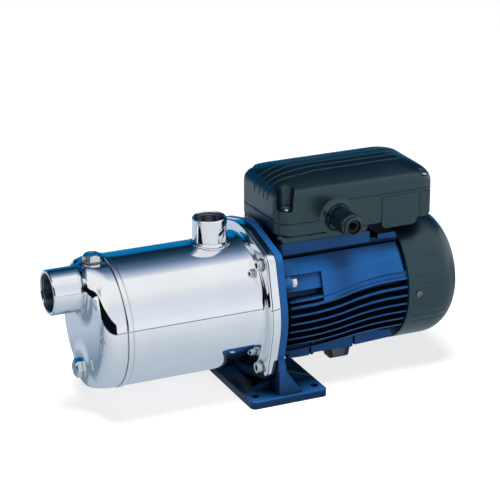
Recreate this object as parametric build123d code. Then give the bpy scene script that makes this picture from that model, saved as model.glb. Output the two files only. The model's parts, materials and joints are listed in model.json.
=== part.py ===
"""Shallow well jet pump: stainless jet pump end close-coupled to a fan-cooled electric motor.

Frame: millimetres, +Z up, +X along the shaft from the suction end towards the fan.
The origin is the centre of the foot's four bolt holes, on the underside of the foot.
"""
import os
from math import acos, atan2, copysign, cos, degrees, hypot, radians, sin, sqrt

from build123d import *

# ---------------------------------------------------------------- driving dimensions
AXIS_Z = 97.0                    # height of the shaft axis over the foot

SHEET = 2.0                      # wall of the pressed stainless casing
CASING_R = 73.3                  # outside radius of the casing
SEAM_X = -182.7                  # joint between barrel and end cap
CAP_KNUCKLE = 20.0               # shoulder radius of the end cap
CAP_FACE_X = -209.1              # flat front of the end cap
FLARE_R = 5.0                    # concave radius from barrel to flange

SUCTION_Z = AXIS_Z + 42.8        # suction port, G 1 1/4
SUCTION_R = 25.1
SUCTION_BORE = 20.955
SUCTION_RIM_X = -246.9
SUCTION_SEAT_X = -214.5
SUCTION_BOSS_R = 30.5
DISCHARGE_X = -57.8              # discharge port, G 1
DISCHARGE_R = 19.25
DISCHARGE_BORE = 16.625
DISCHARGE_RIM_Z = 198.5
DISCHARGE_COLLAR_R = 21.6
DISCHARGE_COLLAR_Z = 172.0

PLUG_HEX = 19.0                  # G 1/4 plugs, across flats
PLUG_HEAD = 7.5
PLUG_SHANK_R = 6.5
PLUG_SHANK = 9.0
PLUG_FIT = 0.06                  # radial clearance of a plug in its hole
BUSH_R = 10.0                    # threaded bushes welded inside the cap for the plugs
SEAL_T = 1.2
SEAL_R = 10.6
FILL_X = -194.8
FILL_FLAT_Z = 168.0
DRAIN_Z = 46.5
DRAIN_SEAT_X = -210.3
DRAIN_BOSS_R = 22.0
DRAIN_KNUCKLE = 11.0

FLANGE_R = 87.3                  # casing and bracket share this outline
EAR_R = 13.0
EAR_PITCH_R = 86.0
EAR_ANGLES = (45, 135, 225, 315)
SCREW_PITCH_R = 85.5             # M8 cap screws through the ears
SCREW_R = 4.0
SCREW_HOLE_R = 4.5
SCREW_HEAD_R = 6.5
SCREW_HEAD = 5.2
SCREW_SOCKET_R = 3.5
WASHER_T = 1.2
FLANGE_X = -23.0                 # front of the casing flange
RING_X = FLANGE_X + SHEET        # clamp ring
BRACKET_X = -11.0                # front of the bracket flange
FRAME_X = -3.0                   # rear of the bracket flange
SPIGOT_R = 78.5
SPIGOT_X = -16.0

FOOT_LENGTH = 92.0               # foot plate, along the shaft
FOOT_WIDTH = 176.0
FOOT_T = 9.2
FOOT_CORNER = 6.0
FOOT_HOLES_X = 72.0
FOOT_HOLES_Y = 148.0
FOOT_HOLE_R = 4.5
PEDESTAL_HALF = 83.0
PEDESTAL_Z = 41.0
GUSSET_T = 7.0

FRAME_END_X = 153.0              # motor frame
FRAME_CORE_R = 60.0
STATOR_R = 53.0
FIN_R = 72.0
FIN_T = 2.3
FIN_PITCH = 9.95
FIN_COUNT = 7
FIN_TOP_Z = 103.6                # highest full fin at the flange end
FIN_START_X = 8.0
SWEEP_RISE = 11.7                # the fins climb this much in an S towards the fan
SWEEP_START_X = 27.0
SWEEP_END_X = 133.0
SWEEP_RUN = 220.0                # the swept bands run past both ends of the motor
SHOULDER_GAP = 8.5               # from the top fin to the edge of the smooth shoulder
POCKET_END_X = 48.5
PAD_Z = 171.4                    # machined pad under the terminal box
PAD_HALF = 48.5
PAD_X = 4.0
PAD_END_X = 115.0
PAD_CORNER = 6.0
BASE_HALF = 48.5                 # flat base along the underside of the frame
BASE_Z = 35.0
BASE_TOP_Z = 48.5                # its upper edge follows the fins, with a smaller rise
BASE_RISE = 6.8
BASE_END_X = 147.0
TIE_BOLT_R = 3.0                 # M6 bolts between frame and bracket
TIE_LUG = 6.2
TIE_HEAD = 6.8
TIE_HEAD_FLATS = 9.4
TIE_BOLTS = [(side * y, AXIS_Z + z) for side in (-1, 1) for y, z in ((71.0, 38.5), (42.0, -62.0))]

COVER_X = 154.8                  # fan cover
COVER_END_X = 227.2
COVER_R = 74.0
COVER_ROUND = 35.0
COVER_T = 2.2
COVER_SCREW_X = 165.8

BOX_X0, BOX_X1 = 1.2, 195.5      # terminal box
BOX_HALF = 55.0
BOX_Z0 = 180.0
BOX_CREST_Z = 245.0
BOX_CORNER = 20.0
BOX_WALL = 2.5
LID_CROWN_R = 115.0              # crown across the lid
LID_EAVE_R = 8.85                # small radius from the crown down to the long sides
LID_EAVE_HALF = 50.0             # half width where the crown meets that radius
LID_HEEL_R = 22.0                # at the ends a tight radius turns into a wide one
LID_HEEL_TURN = 30.0             # degrees below level where it does
LID_FRONT_R = 50.0
LID_REAR_R = 70.0
LID_DROPS = (25.5, 19.5, 15.0, 11.0, 7.0, 4.0, 2.0, 0.5)      # levels below the crest
LID_RIDGES = (8.0, -4.0, -15.0, -25.0)
LID_RIDGE_Z = 214.0              # lower ends of the ridges on the front of the lid
LID_SCREWS = [(x, side * 46.5, z) for side in (-1, 1) for x, z in ((13.5, 210.0), (182.0, 228.0))]
LID_WELLS = {13.5: (11.5, 47.0, 9.6), 182.0: (182.0, 49.3, 7.5)}      # centre and radius of each well
LID_SCREW_R = 1.7
SPLIT_LOW_Z = 195.0
SPLIT_HIGH_Z = 214.0
SPLIT_BEND_X0, SPLIT_BEND_X1 = 40.0, 76.0
GASKET_T = 1.0

GLAND_X = 70.2
GLAND_Z = 198.5
GLAND_FACE_Y = -62.0             # end of the boss on the box
GLAND_BOSS_R = 15.5
GLAND_STEM_R = 10.0
GLAND_NUT_R = 13.5
GLAND_NUT_Y = -97.0
CABLE_R = 4.5

BUMPER_X0, BUMPER_X1 = 84.0, 115.0      # rubber bumper under the motor, clear of the floor
BUMPER_Z = 4.2
BUMPER_HALF = 7.0

IMPELLER_R = 60.0
SHAFT_SEAL_R = 7.0
SHAFT_FRONT_R = 8.5
SHAFT_REAR_R = 7.5
SHAFT_CORE_R = 11.0
ROTOR_R = 30.0
AIR_GAP = 0.4

ON_END = (Align.CENTER, Align.CENTER, Align.MIN)
SHAFT = Axis((0, 0, AXIS_Z), (1, 0, 0))
SECTION = Plane(origin=(0, 0, AXIS_Z), x_dir=(1, 0, 0), z_dir=(0, -1, 0))   # u = X, v = radius
SIDE = Plane.XZ                                                             # u = X, v = Z


# ---------------------------------------------------------------- shared shapes
def rod(x_from, x_to, radius, y=0.0, z=AXIS_Z):
    """Round bar parallel to the shaft."""
    return Pos(x_from, y, z) * Rot(0, 90, 0) * Cylinder(radius, x_to - x_from, align=ON_END)


def tube(x_from, x_to, outer, inner, y=0.0, z=AXIS_Z):
    return rod(x_from, x_to, outer, y, z) - rod(x_from, x_to, inner, y, z)


def post(x, y, z_from, z_to, radius):
    """Round bar along Z."""
    return Pos(x, y, z_from) * Cylinder(radius, z_to - z_from, align=ON_END)


def cross_bar(x, z, y_from, y_to, radius):
    """Round bar along Y."""
    return Pos(x, y_from, z) * Rot(-90, 0, 0) * Cylinder(radius, y_to - y_from, align=ON_END)


def block(x_from, x_to, y_from, y_to, z_from, z_to):
    size = (x_to - x_from, y_to - y_from, z_to - z_from)
    centre = ((x_from + x_to) / 2, (y_from + y_to) / 2, (z_from + z_to) / 2)
    return Pos(*centre) * Box(*size)


def turned(*outline):
    """Revolve a closed (x, radius) outline about the shaft axis."""
    return revolve(SECTION * make_face(Polyline(*outline, close=True)), SHAFT)


def plate(outline, x_from, x_to, z=AXIS_Z):
    """Extrude a (y, z) outline along the shaft."""
    return extrude(Plane.YZ.offset(x_from) * Pos(0, z) * outline, x_to - x_from, dir=(1, 0, 0))


def polar(radius, angle):
    return radius * cos(radians(angle)), radius * sin(radians(angle))


# ---------------------------------------------------------------- flange outline
def flange_outline():
    """Round flange with four ears, each joined to the round by its outer tangents."""
    lean = degrees(acos((FLANGE_R - EAR_R) / EAR_PITCH_R))
    outline = Circle(FLANGE_R)
    for angle in EAR_ANGLES:
        cy, cz = polar(EAR_PITCH_R, angle)
        tangents = []
        for side in (-1, 1):
            ty, tz = polar(1.0, angle + side * lean)
            on_round = (FLANGE_R * ty, FLANGE_R * tz)
            on_ear = (cy + EAR_R * ty, cz + EAR_R * tz)
            tangents += [on_round, on_ear] if side < 0 else [on_ear, on_round]
        outline += Polygon((0, 0), *tangents, align=None) + Pos(cy, cz) * Circle(EAR_R)
    return outline


def ear_centre(angle):
    y, z = polar(SCREW_PITCH_R, angle)
    return y, AXIS_Z + z


def ear_holes(radius, x_from, x_to):
    return [rod(x_from, x_to, radius, *ear_centre(angle)) for angle in EAR_ANGLES]


# ---------------------------------------------------------------- casing
def casing_barrel():
    bend_x = FLANGE_X - FLARE_R
    wall = rod(SEAM_X, RING_X, CASING_R)
    flare = turned(
        (bend_x - 0.01, 0), (bend_x - 0.01, CASING_R), (FLANGE_X, CASING_R + FLARE_R), (FLANGE_X, 0))
    groove = SECTION * Pos(bend_x, CASING_R + FLARE_R) * Circle(FLARE_R)
    flare -= revolve(groove, SHAFT)
    shell = wall + flare + plate(flange_outline(), FLANGE_X, RING_X)
    shell -= rod(SEAM_X, RING_X, CASING_R - SHEET)
    shell -= post(DISCHARGE_X, 0, AXIS_Z, DISCHARGE_RIM_Z, DISCHARGE_BORE)
    for hole in ear_holes(SCREW_HOLE_R, FLANGE_X, RING_X):
        shell -= hole
    return shell


def cap_form(inset):
    """Outer form of the end cap, or its hollow when inset by the sheet thickness."""
    radius = CASING_R - inset
    knuckle = CAP_KNUCKLE - inset
    face_x = CAP_FACE_X + inset
    dome = rod(face_x, SEAM_X, radius)
    dome = fillet(dome.edges().sort_by(Axis.X)[0], knuckle)
    suction_boss = rod(SUCTION_SEAT_X + inset, SEAM_X - 8, SUCTION_BOSS_R - inset, 0, SUCTION_Z)
    drain_full = rod(DRAIN_SEAT_X + inset, SEAM_X, radius)
    drain_full = fillet(drain_full.edges().sort_by(Axis.X)[0], DRAIN_KNUCKLE - inset)
    drain_boss = rod(DRAIN_SEAT_X + inset, SEAM_X, DRAIN_BOSS_R - inset, 0, DRAIN_Z) & drain_full
    form = dome + (suction_boss & rod(SUCTION_SEAT_X, SEAM_X, radius)) + drain_boss
    flat = block(SUCTION_SEAT_X - 1, SEAM_X, -CASING_R, CASING_R, FILL_FLAT_Z - inset, 200)
    return form - flat


def casing_end_cap():
    outside = cap_form(0)
    fill_bush = post(FILL_X, 0, FILL_FLAT_Z - PLUG_SHANK, FILL_FLAT_Z, BUSH_R)
    drain_bush = rod(DRAIN_SEAT_X, DRAIN_SEAT_X + PLUG_SHANK, BUSH_R, 0, DRAIN_Z)
    cap = outside - cap_form(SHEET) + (fill_bush & outside) + (drain_bush & outside)
    cap -= rod(SUCTION_SEAT_X, SUCTION_SEAT_X + 2 * SHEET, SUCTION_BORE, 0, SUCTION_Z)
    cap -= post(FILL_X, 0, FILL_FLAT_Z - PLUG_SHANK, FILL_FLAT_Z, PLUG_SHANK_R + PLUG_FIT)
    cap -= rod(DRAIN_SEAT_X, DRAIN_SEAT_X + PLUG_SHANK, PLUG_SHANK_R + PLUG_FIT, 0, DRAIN_Z)
    return cap


def suction_socket():
    socket = rod(SUCTION_RIM_X, SUCTION_SEAT_X, SUCTION_R, 0, SUCTION_Z)
    socket -= rod(SUCTION_RIM_X, SUCTION_SEAT_X, SUCTION_BORE, 0, SUCTION_Z)
    rim = socket.edges().filter_by(GeomType.CIRCLE).group_by(Axis.X)[0]
    return chamfer(rim, 1.2)


def discharge_socket():
    base = AXIS_Z + CASING_R - 8
    socket = post(DISCHARGE_X, 0, base, DISCHARGE_RIM_Z, DISCHARGE_R)
    collar = post(DISCHARGE_X, 0, base, DISCHARGE_COLLAR_Z, DISCHARGE_COLLAR_R)
    collar = chamfer(collar.edges().sort_by(Axis.Z)[-1], 2.0)
    socket = socket + collar - post(DISCHARGE_X, 0, base, DISCHARGE_RIM_Z, DISCHARGE_BORE)
    socket -= rod(SEAM_X, 0, CASING_R)
    rim = socket.edges().filter_by(GeomType.CIRCLE).group_by(Axis.Z)[-1]
    return chamfer(rim, 1.2)


def clamp_ring():
    ring = plate(flange_outline(), RING_X, BRACKET_X) - rod(RING_X, BRACKET_X, SPIGOT_R + 0.5)
    for hole in ear_holes(SCREW_HOLE_R, RING_X, BRACKET_X):
        ring -= hole
    return ring


def clamp_screw(angle):
    """M8 cap screw: round head with a hexagon socket, shank to the back of the bracket flange."""
    y, z = ear_centre(angle)
    seat = FLANGE_X - WASHER_T
    head = rod(seat - SCREW_HEAD, seat, SCREW_HEAD_R, y, z)
    head = chamfer(head.edges().sort_by(Axis.X)[0], 0.6)
    shank = rod(seat, FRAME_X - 1, SCREW_R, y, z)
    socket = plate(RegularPolygon(SCREW_SOCKET_R, 6), seat - SCREW_HEAD, seat - 2.0, z=0)
    return head + shank - Pos(0, y, z) * socket


def clamp_screws():
    return Compound(children=[clamp_screw(a) for a in EAR_ANGLES])


def clamp_washers():
    rings = []
    for angle in EAR_ANGLES:
        y, z = ear_centre(angle)
        rings.append(tube(FLANGE_X - WASHER_T, FLANGE_X, SCREW_HEAD_R + 0.4, SCREW_R + 0.3, y, z))
    return Compound(children=rings)


def plug():
    """Hexagon plug, axis +Z, its seat at z = 0."""
    head = extrude(RegularPolygon(PLUG_HEX / 2, 6, major_radius=False), PLUG_HEAD)
    rounding = Cylinder(PLUG_HEX * 0.57, PLUG_HEAD, align=ON_END)
    rounding = chamfer(rounding.edges().sort_by(Axis.Z)[-1], 1.3)
    shank = Pos(0, 0, -PLUG_SHANK - SEAL_T) * Cylinder(PLUG_SHANK_R, PLUG_SHANK + SEAL_T, align=ON_END)
    return (head & rounding) + shank


def plug_seal():
    """Flat sealing ring under a plug's head, lying below z = 0."""
    bore = PLUG_SHANK_R + PLUG_FIT
    return Pos(0, 0, -SEAL_T) * (Cylinder(SEAL_R, SEAL_T, align=ON_END)
                                 - Cylinder(bore, SEAL_T, align=ON_END))


FILL_SEAT = Pos(FILL_X, 0, FILL_FLAT_Z + SEAL_T)
DRAIN_SEAT = Pos(DRAIN_SEAT_X - SEAL_T, 0, DRAIN_Z) * Rot(0, -90, 0)


def casing_o_ring():
    ring = SECTION * Pos(RING_X + 1.4, 75.5) * RegularPolygon(1.4, 8)
    return revolve(ring, SHAFT)


# ---------------------------------------------------------------- hydraulic parts inside the casing
def seal_plate():
    disc = turned((-21, 71.4), (-21, 78.4), (-16, 78.4), (-16, 66), (-17, 64), (-17, 24), (-5, 20),
                  (2, 20), (2, 9.5), (-1, 9.5), (-1, 14.05), (-9, 14.05), (-20, 20), (-20, 64),
                  (-21, 68))
    groove = tube(-21, -18.2, 77.0, 74.0)
    return disc - groove


def diffuser():
    """Cup round the impeller with guide vanes on its front wall."""
    cup = turned((-21, 64), (-21, 67), (-52, 67), (-56, 60), (-56, 20), (-53, 20), (-53, 58.5),
                 (-49.5, 64))
    for step in range(8):
        cup += vane_at(step * 45, 30, 62, -53.2, -44, 2.2)
    return cup


def vane_at(angle, r_from, r_to, x_from, x_to, thickness):
    """Straight guide vane set off the radius, turned to its place about the shaft."""
    blade = block(x_from, x_to, r_from, r_to, -thickness / 2, thickness / 2)
    lean = Pos(0, r_from, 0) * Rot(35, 0, 0) * Pos(0, -r_from, 0)
    return Pos(0, 0, AXIS_Z) * Rot(angle, 0, 0) * lean * blade


def ejector_body():
    """Chamber behind the suction port, which holds the nozzle in line with the venturi tube."""
    chamber = rod(-204, -150, 26)
    hollow = rod(-201.5, -152.5, 23.5)
    body = chamber + duct_form(0) - hollow - duct_form(2.5) - rod(-153, -149, 14.1)
    return body


def duct_form(inset):
    """Flat-topped duct from the suction port down to the chamber."""
    half, x_front, x_back = 24 - inset, -207 - inset / 5, -176 - inset
    duct = rod(x_front, x_back, half, 0, SUCTION_Z) + block(x_front, x_back, -half, half, AXIS_Z, SUCTION_Z)
    return duct & block(-210, x_back, -40, 40, AXIS_Z, 155 - inset)


def jet_nozzle():
    nozzle = turned((-190, 10), (-190, 14), (-184, 14), (-184, 11), (-168, 5.5), (-168, 3.5),
                    (-184, 7.5))
    spider = sum_of([block(-190, -186, 12, 23.4, -1.5, 1.5).moved(Location((0, 0, 0), (a, 0, 0)))
                     for a in (0, 120, 240)])
    return nozzle + Pos(0, 0, AXIS_Z) * spider


def sum_of(shapes):
    total = shapes[0]
    for shape in shapes[1:]:
        total += shape
    return total


def venturi_tube():
    """Bell mouth, narrow throat and long widening cone up to the impeller eye."""
    return turned((-162, 12.5), (-162, 14), (-140, 9.5), (-128, 9.5), (-60, 17.5), (-56.2, 19.8),
                  (-52.6, 19.8), (-52.6, 16), (-60, 15), (-128, 6.5), (-140, 6.5), (-160, 12))


def impeller():
    """Closed impeller: hub, two shrouds and six backward-curved vanes."""
    wheel = turned((-24, 0), (-24, IMPELLER_R), (-26, IMPELLER_R), (-27, 20), (-40, 12), (-40, 0))
    front = turned((-36, IMPELLER_R), (-34.2, IMPELLER_R), (-40, 24), (-43, 18.5), (-49, 18.5),
                   (-49, 17), (-45, 17), (-42, 23))
    wheel += front
    arc_r = 45.0
    strip = Circle(arc_r) - Circle(arc_r - 2.2)
    window = Circle(IMPELLER_R - 0.5) - Circle(21)
    for step in range(6):
        blade = (Rot(0, 0, 60 * step) * Pos(0, 38) * strip) & window
        half = Rot(0, 0, 60 * step) * Pos(-60, 20) * Rectangle(120, 120)
        wheel += plate(blade & half, -37.5, -25.5)
    return wheel - rod(-60, 0, SHAFT_SEAL_R + 0.02) - impeller_key()


def impeller_nut():
    seat = plate(RegularPolygon(8.5, 6, major_radius=False), -48, -40)
    return seat - rod(-46, -40, 5.02)


def pump_shaft():
    steps = [(-46, -40, 5.0), (-40, 4, SHAFT_SEAL_R), (4, 24, SHAFT_FRONT_R), (24, 130, SHAFT_CORE_R),
             (130, 146, SHAFT_REAR_R), (146, 202, 6.5)]
    bar = sum_of([rod(*step) for step in steps])
    bar -= block(-39, -26, -2, 2, AXIS_Z + SHAFT_SEAL_R - 2.5, AXIS_Z + SHAFT_SEAL_R + 1)
    bar -= tube(197.4, 198.6, 7, 5.6)
    return bar


def impeller_key():
    return block(-39, -26, -2, 2, AXIS_Z + SHAFT_SEAL_R - 2.5, AXIS_Z + SHAFT_SEAL_R + 1.5)


def seal_head():
    head = tube(-24, -20, 13, SHAFT_SEAL_R + 0.02) + tube(-20, -12, 10, SHAFT_SEAL_R + 0.02)
    return head + tube(-12, -8, 12.5, SHAFT_SEAL_R + 0.02)


def seal_spring():
    """Wave-coil spring of the mechanical seal, round its bellows."""
    rings = [turned((x, 10.3), (x + 1.0, 10.3), (x + 1.0, 12.0), (x, 12.0)) for x in (-19, -16.5, -14)]
    return Compound(children=rings)


def seal_seat():
    return tube(-8, -1, 14, SHAFT_SEAL_R + 1.0)


def water_slinger():
    return turned((4, 8.55), (4, 12), (6, 18), (8, 18), (8.5, 12), (8.5, 8.55))


# ---------------------------------------------------------------- bearings
def bearing_outer(x_from, x_to, outer, mid):
    return turned((x_from, mid + 1.2), (x_from, outer), (x_to, outer), (x_to, mid + 1.2))


def bearing_inner(x_from, x_to, mid, bore):
    race = tube(x_from, x_to, mid - 1.2, bore)
    shields = sum_of([tube(x, x + 0.6, mid + 0.9, mid - 1.2) for x in (x_from + 0.4, x_to - 1.0)])
    return race + shields


# ---------------------------------------------------------------- bracket with foot
def foot_plate():
    outline = RectangleRounded(FOOT_LENGTH, FOOT_WIDTH, FOOT_CORNER)
    foot = chamfer(extrude(outline, FOOT_T).edges().group_by(Axis.Z)[-1], 1.2)
    for x in (-FOOT_HOLES_X / 2, FOOT_HOLES_X / 2):
        for y in (-FOOT_HOLES_Y / 2, FOOT_HOLES_Y / 2):
            foot -= post(x, y, 0, FOOT_T, FOOT_HOLE_R)
    return foot


def gusset(y, x_root, x_tip, z_root, thickness=GUSSET_T):
    """Triangular rib from the pedestal web down to the foot plate."""
    outline = Polygon((x_root, FOOT_T), (x_tip, FOOT_T), (x_root, z_root), align=None)
    return Pos(0, y, 0) * extrude(SIDE * outline, thickness / 2, both=True)


def motor_bracket():
    web = Polygon((-PEDESTAL_HALF, FOOT_T - 1), (PEDESTAL_HALF, FOOT_T - 1), (PEDESTAL_HALF, PEDESTAL_Z),
                  (55, 90), (-55, 90), (-PEDESTAL_HALF, PEDESTAL_Z), align=None)
    bracket = plate(flange_outline(), BRACKET_X, FRAME_X) + plate(web, BRACKET_X, FRAME_X, z=0)
    bracket += rod(SPIGOT_X, BRACKET_X, SPIGOT_R)
    bracket -= rod(SPIGOT_X, FRAME_X, 70)
    bracket += turned((FRAME_X - 6, 75), (FRAME_X, 75), (FRAME_X, 58), (6, 57.8), (6, 54), (FRAME_X + 2, 54),
                      (10, 27), (26, 27), (26, 20), (12, 20), (12, 13), (9, 13), (9, 22), (FRAME_X - 2, 52),
                      (FRAME_X - 6, 60))
    bracket += foot_plate()
    for side in (-1, 1):
        edge = side * (PEDESTAL_HALF - GUSSET_T / 2)
        bracket += gusset(edge, FRAME_X, 17, 37) + gusset(side * 57, BRACKET_X, -34, 20.5, 5)
        bracket += gusset(side * 47, FRAME_X, 43, 26, 5)
    for index in range(1, FIN_COUNT - 1):
        z = FIN_TOP_Z - FIN_PITCH * index
        stub = block(FRAME_X - 1, 4, -FIN_R, FIN_R, z, z + FIN_T)
        bracket += stub & tube(FRAME_X - 1, 4, FIN_R - 1, FIN_R - 3.5)
    for y, z in TIE_BOLTS:
        bracket += rod(FRAME_X, 0, 7.5, y, z)
        bracket -= rod(BRACKET_X + 1, 0, TIE_BOLT_R + 0.1, y, z)
    for hole in ear_holes(SCREW_R, BRACKET_X, FRAME_X):
        bracket -= hole
    return bracket


# ---------------------------------------------------------------- motor frame
def sweep_path(z, rise):
    """Line, S of two tangent arcs, line: the course of one fin in the side view."""
    middle = ((SWEEP_START_X + SWEEP_END_X) / 2, z + rise / 2)
    start, end = (SWEEP_START_X, z), (SWEEP_END_X, z + rise)
    return [Line((-SWEEP_RUN, z), start), TangentArc(start, middle, tangent=(1, 0)),
            TangentArc(middle, end, tangent=(-1, 0), tangent_from_first=False),
            Line(end, (SWEEP_RUN, z + rise))]


def sweep_band(z_low, z_high, rise=SWEEP_RISE):
    """Solid between two swept courses, right across and along the motor."""
    ends = [Line((-SWEEP_RUN, z_low), (-SWEEP_RUN, z_high)),
            Line((SWEEP_RUN, z_low + rise), (SWEEP_RUN, z_high + rise))]
    outline = make_face(sweep_path(z_low, rise) + sweep_path(z_high, rise) + ends)
    return extrude(SIDE * outline, 90, both=True)


def hull_outline(inset=0.0):
    """Faceted upper outline of the motor frame, as a (y, z) polygon about the axis."""
    half = [(30, 56.5), (48.0 - inset, 56.5), (61.5 - inset, 41.5), (72.3 - inset, 9.0),
            (72.3 - inset, -2.0)]
    return Polygon(*half, *[(-y, z) for y, z in reversed(half)], align=None)


def motor_base():
    """Flat-bottomed base under the frame; its upper edge sweeps up with the fins."""
    outline = Polygon((0, BASE_Z + 0.6), (30, BASE_Z - 0.6), (46, BASE_Z - 0.6), (48, BASE_Z + 1.6),
                      (80, BASE_Z + 1.2), (82, BASE_Z), (94, BASE_Z), (98, BASE_Z + 1.8),
                      (BASE_END_X, BASE_Z + 3.8), (BASE_END_X - 4.5, 49), (128, 49), (119, 60),
                      (0, 60), align=None)
    base = extrude(SIDE * outline, BASE_HALF, both=True)
    base &= sweep_band(0, BASE_TOP_Z, BASE_RISE)
    for x in (43, 97.5):
        for side in (-1, 1):
            base -= block(x - 1.2, x + 1.2, *sorted((side * (BASE_HALF - 3), side * BASE_HALF)), 0, 60)
    return base + block(BUMPER_X0, BUMPER_X1, -12, 12, BASE_Z, BASE_Z + 4)


def box_pad():
    """Machined pad that carries the terminal box, with the narrow bar behind it."""
    pad = block(PAD_X, PAD_END_X, -PAD_HALF, PAD_HALF, 158.5, PAD_Z)
    pad = fillet(pad.edges().filter_by(Axis.Z).group_by(Axis.X)[0], PAD_CORNER)
    pad += block(PAD_X, FRAME_END_X, -42, 42, 150, 160)
    return pad + block(125, 147, -PAD_HALF, PAD_HALF, 160, 166)


def fin_set():
    """Seven full fins, and the short one in the pocket under the smooth shoulder."""
    envelope = rod(FIN_START_X, FRAME_END_X, FIN_R)
    levels = [FIN_TOP_Z - FIN_PITCH * index for index in range(FIN_COUNT)]
    fins = [sweep_band(z, z + FIN_T) & envelope for z in levels]
    top = FIN_TOP_Z + SHOULDER_GAP
    short = sweep_band(top - FIN_T, top) & rod(FIN_START_X, POCKET_END_X + 2, FIN_R - 1.5)
    return fins + [short]


def frame_hull():
    """Smooth faceted shoulder over the fins, drawn in at the fan end, with a stepped pocket
    at the flange end."""
    shoulder_z = FIN_TOP_Z + SHOULDER_GAP
    drawn_in = turned((3, 0), (3, 80), (140, 80), (143, 74.6), (147, 73.6), (150.5, 71), (FRAME_END_X, 67.5),
                      (FRAME_END_X, 0))
    full = plate(hull_outline(), 3, FRAME_END_X) & drawn_in
    hull = full - sweep_band(20.0, shoulder_z)
    pocket = block(0, POCKET_END_X, -90, 90, 121, 139)
    under = block(0, POCKET_END_X, -90, 90, 100, 121)
    hull -= pocket & (full - plate(hull_outline(3.2), 3, FRAME_END_X))
    hull -= under & (full - plate(hull_outline(13), 3, FRAME_END_X))
    strip = sweep_band(FIN_TOP_Z, shoulder_z)
    return hull + (plate(hull_outline(0.9), POCKET_END_X, FRAME_END_X) & strip)


def tie_lug(y, z):
    """Lug for one tie bolt, on an arm out from the frame."""
    arm = Rectangle(hypot(y, z - AXIS_Z), 12, align=(Align.MIN, Align.CENTER))
    arm = Rot(0, 0, degrees(atan2(z - AXIS_Z, y))) * arm
    return rod(0, TIE_LUG, 7.5, y, z) + plate(arm, 0, TIE_LUG)


def motor_frame():
    frame = rod(3, FRAME_END_X, FRAME_CORE_R) + frame_hull()
    for fin in fin_set():
        frame += fin
    frame += motor_base() + box_pad() + tube(0, 4, 68, 57)
    for y, z in TIE_BOLTS:
        frame += tie_lug(y, z)
    frame -= rod(0, FRAME_END_X, STATOR_R) + rod(0, 6.2, 58)
    for y, z in TIE_BOLTS:
        frame -= rod(0, TIE_LUG, TIE_BOLT_R + 0.3, y, z)
        frame -= rod(TIE_LUG, TIE_LUG + TIE_HEAD + 3, 8.5, y, z)
    return frame


def tie_bolts():
    bolts = []
    for y, z in TIE_BOLTS:
        head = RegularPolygon(TIE_HEAD_FLATS / 2, 6, major_radius=False)
        head = Pos(0, y, z) * plate(head, TIE_LUG, TIE_LUG + TIE_HEAD, z=0)
        bolts.append(head + rod(FRAME_X - 5, TIE_LUG, TIE_BOLT_R, y, z))
    return Compound(children=bolts)


def stator_core():
    return tube(45, 115, STATOR_R, ROTOR_R + AIR_GAP)


def stator_winding(x_from, x_to):
    ring = tube(x_from, x_to, 49, 34)
    return chamfer(ring.edges().filter_by(GeomType.CIRCLE), 3)


def rotor_core():
    return tube(45, 115, ROTOR_R, SHAFT_CORE_R) + tube(40, 120, 27, 20)


def rear_end_shield():
    shield = turned((FRAME_END_X, 71.4), (FRAME_END_X + 7, 71.4), (FRAME_END_X + 7, 60), (150, 30),
                    (147, 22), (147, 8.5), (145, 8.5), (145, 17.5), (133, 17.5), (133, 22), (142, 24),
                    (148, 52.9), (FRAME_END_X, 52.9))
    for side in (-1, 1):
        lug = block(FRAME_END_X + 5, COVER_SCREW_X + 6, -7, 7, -7, 7)
        lug = Pos(0, side * 63, AXIS_Z) * lug & rod(0, 200, 71.4)
        shield += lug
        shield -= cross_bar(COVER_SCREW_X, AXIS_Z, *sorted((side * 58, side * 74)), 1.8)
    return shield


def wave_washer():
    return tube(144.3, 145, 17, 12)


# ---------------------------------------------------------------- fan and cover
def fan():
    wheel = tube(174, 197, 13, 6.52) + tube(174, 176.5, 60, 13)
    for step in range(8):
        blade = block(176, 197, 12, 60, -1.1, 1.1) - Pos(197, 60, 0) * Rot(0, 0, 45) * Box(16, 16, 9)
        wheel += Pos(0, 0, AXIS_Z) * Rot(45 * step, 0, 0) * blade
    return wheel


def fan_clip():
    ring = tube(197.45, 198.55, 11, 5.7)
    return ring - block(197, 199, -2, 2, AXIS_Z, AXIS_Z + 15)


def cover_form(inset):
    radius, end_x = COVER_R - inset, COVER_END_X - inset
    form = rod(COVER_X - inset, end_x, radius)
    return fillet(form.edges().sort_by(Axis.X)[-1], COVER_ROUND - inset)


def fan_cover():
    shell = cover_form(0) - cover_form(COVER_T)
    for side in (-1, 1):
        shell -= cross_bar(COVER_SCREW_X, AXIS_Z, *sorted((side * 66, side * 80)), 2.3)
        for row in range(8):
            z = AXIS_Z + 31 - 9.2 * row
            y = sorted((side * 69, side * 80))
            groove = block(167, 205, *y, z - 0.5, z + 0.5) - cover_form(0.5)
            shell -= groove
    for radius in (12, 20, 28, 36):
        slots = Circle(radius + 2) - Circle(radius - 2)
        for angle in (0, 45, 90, 135):
            slots -= Rot(0, 0, angle) * Rectangle(4, 200)
        shell -= plate(slots, COVER_END_X - 8, COVER_END_X + 1)
    return shell


def cover_screws():
    screws = []
    for side in (-1, 1):
        shank = cross_bar(COVER_SCREW_X, AXIS_Z, *sorted((side * 62, side * COVER_R)), 1.7)
        head = cross_bar(COVER_SCREW_X, AXIS_Z, *sorted((side * COVER_R, side * (COVER_R + 2.2))), 3.8)
        outer = head.edges().filter_by(GeomType.CIRCLE).sort_by(Axis.Y)[0 if side < 0 else -1]
        screws.append(shank + chamfer(outer, 1.0))
    return Compound(children=screws)


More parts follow.
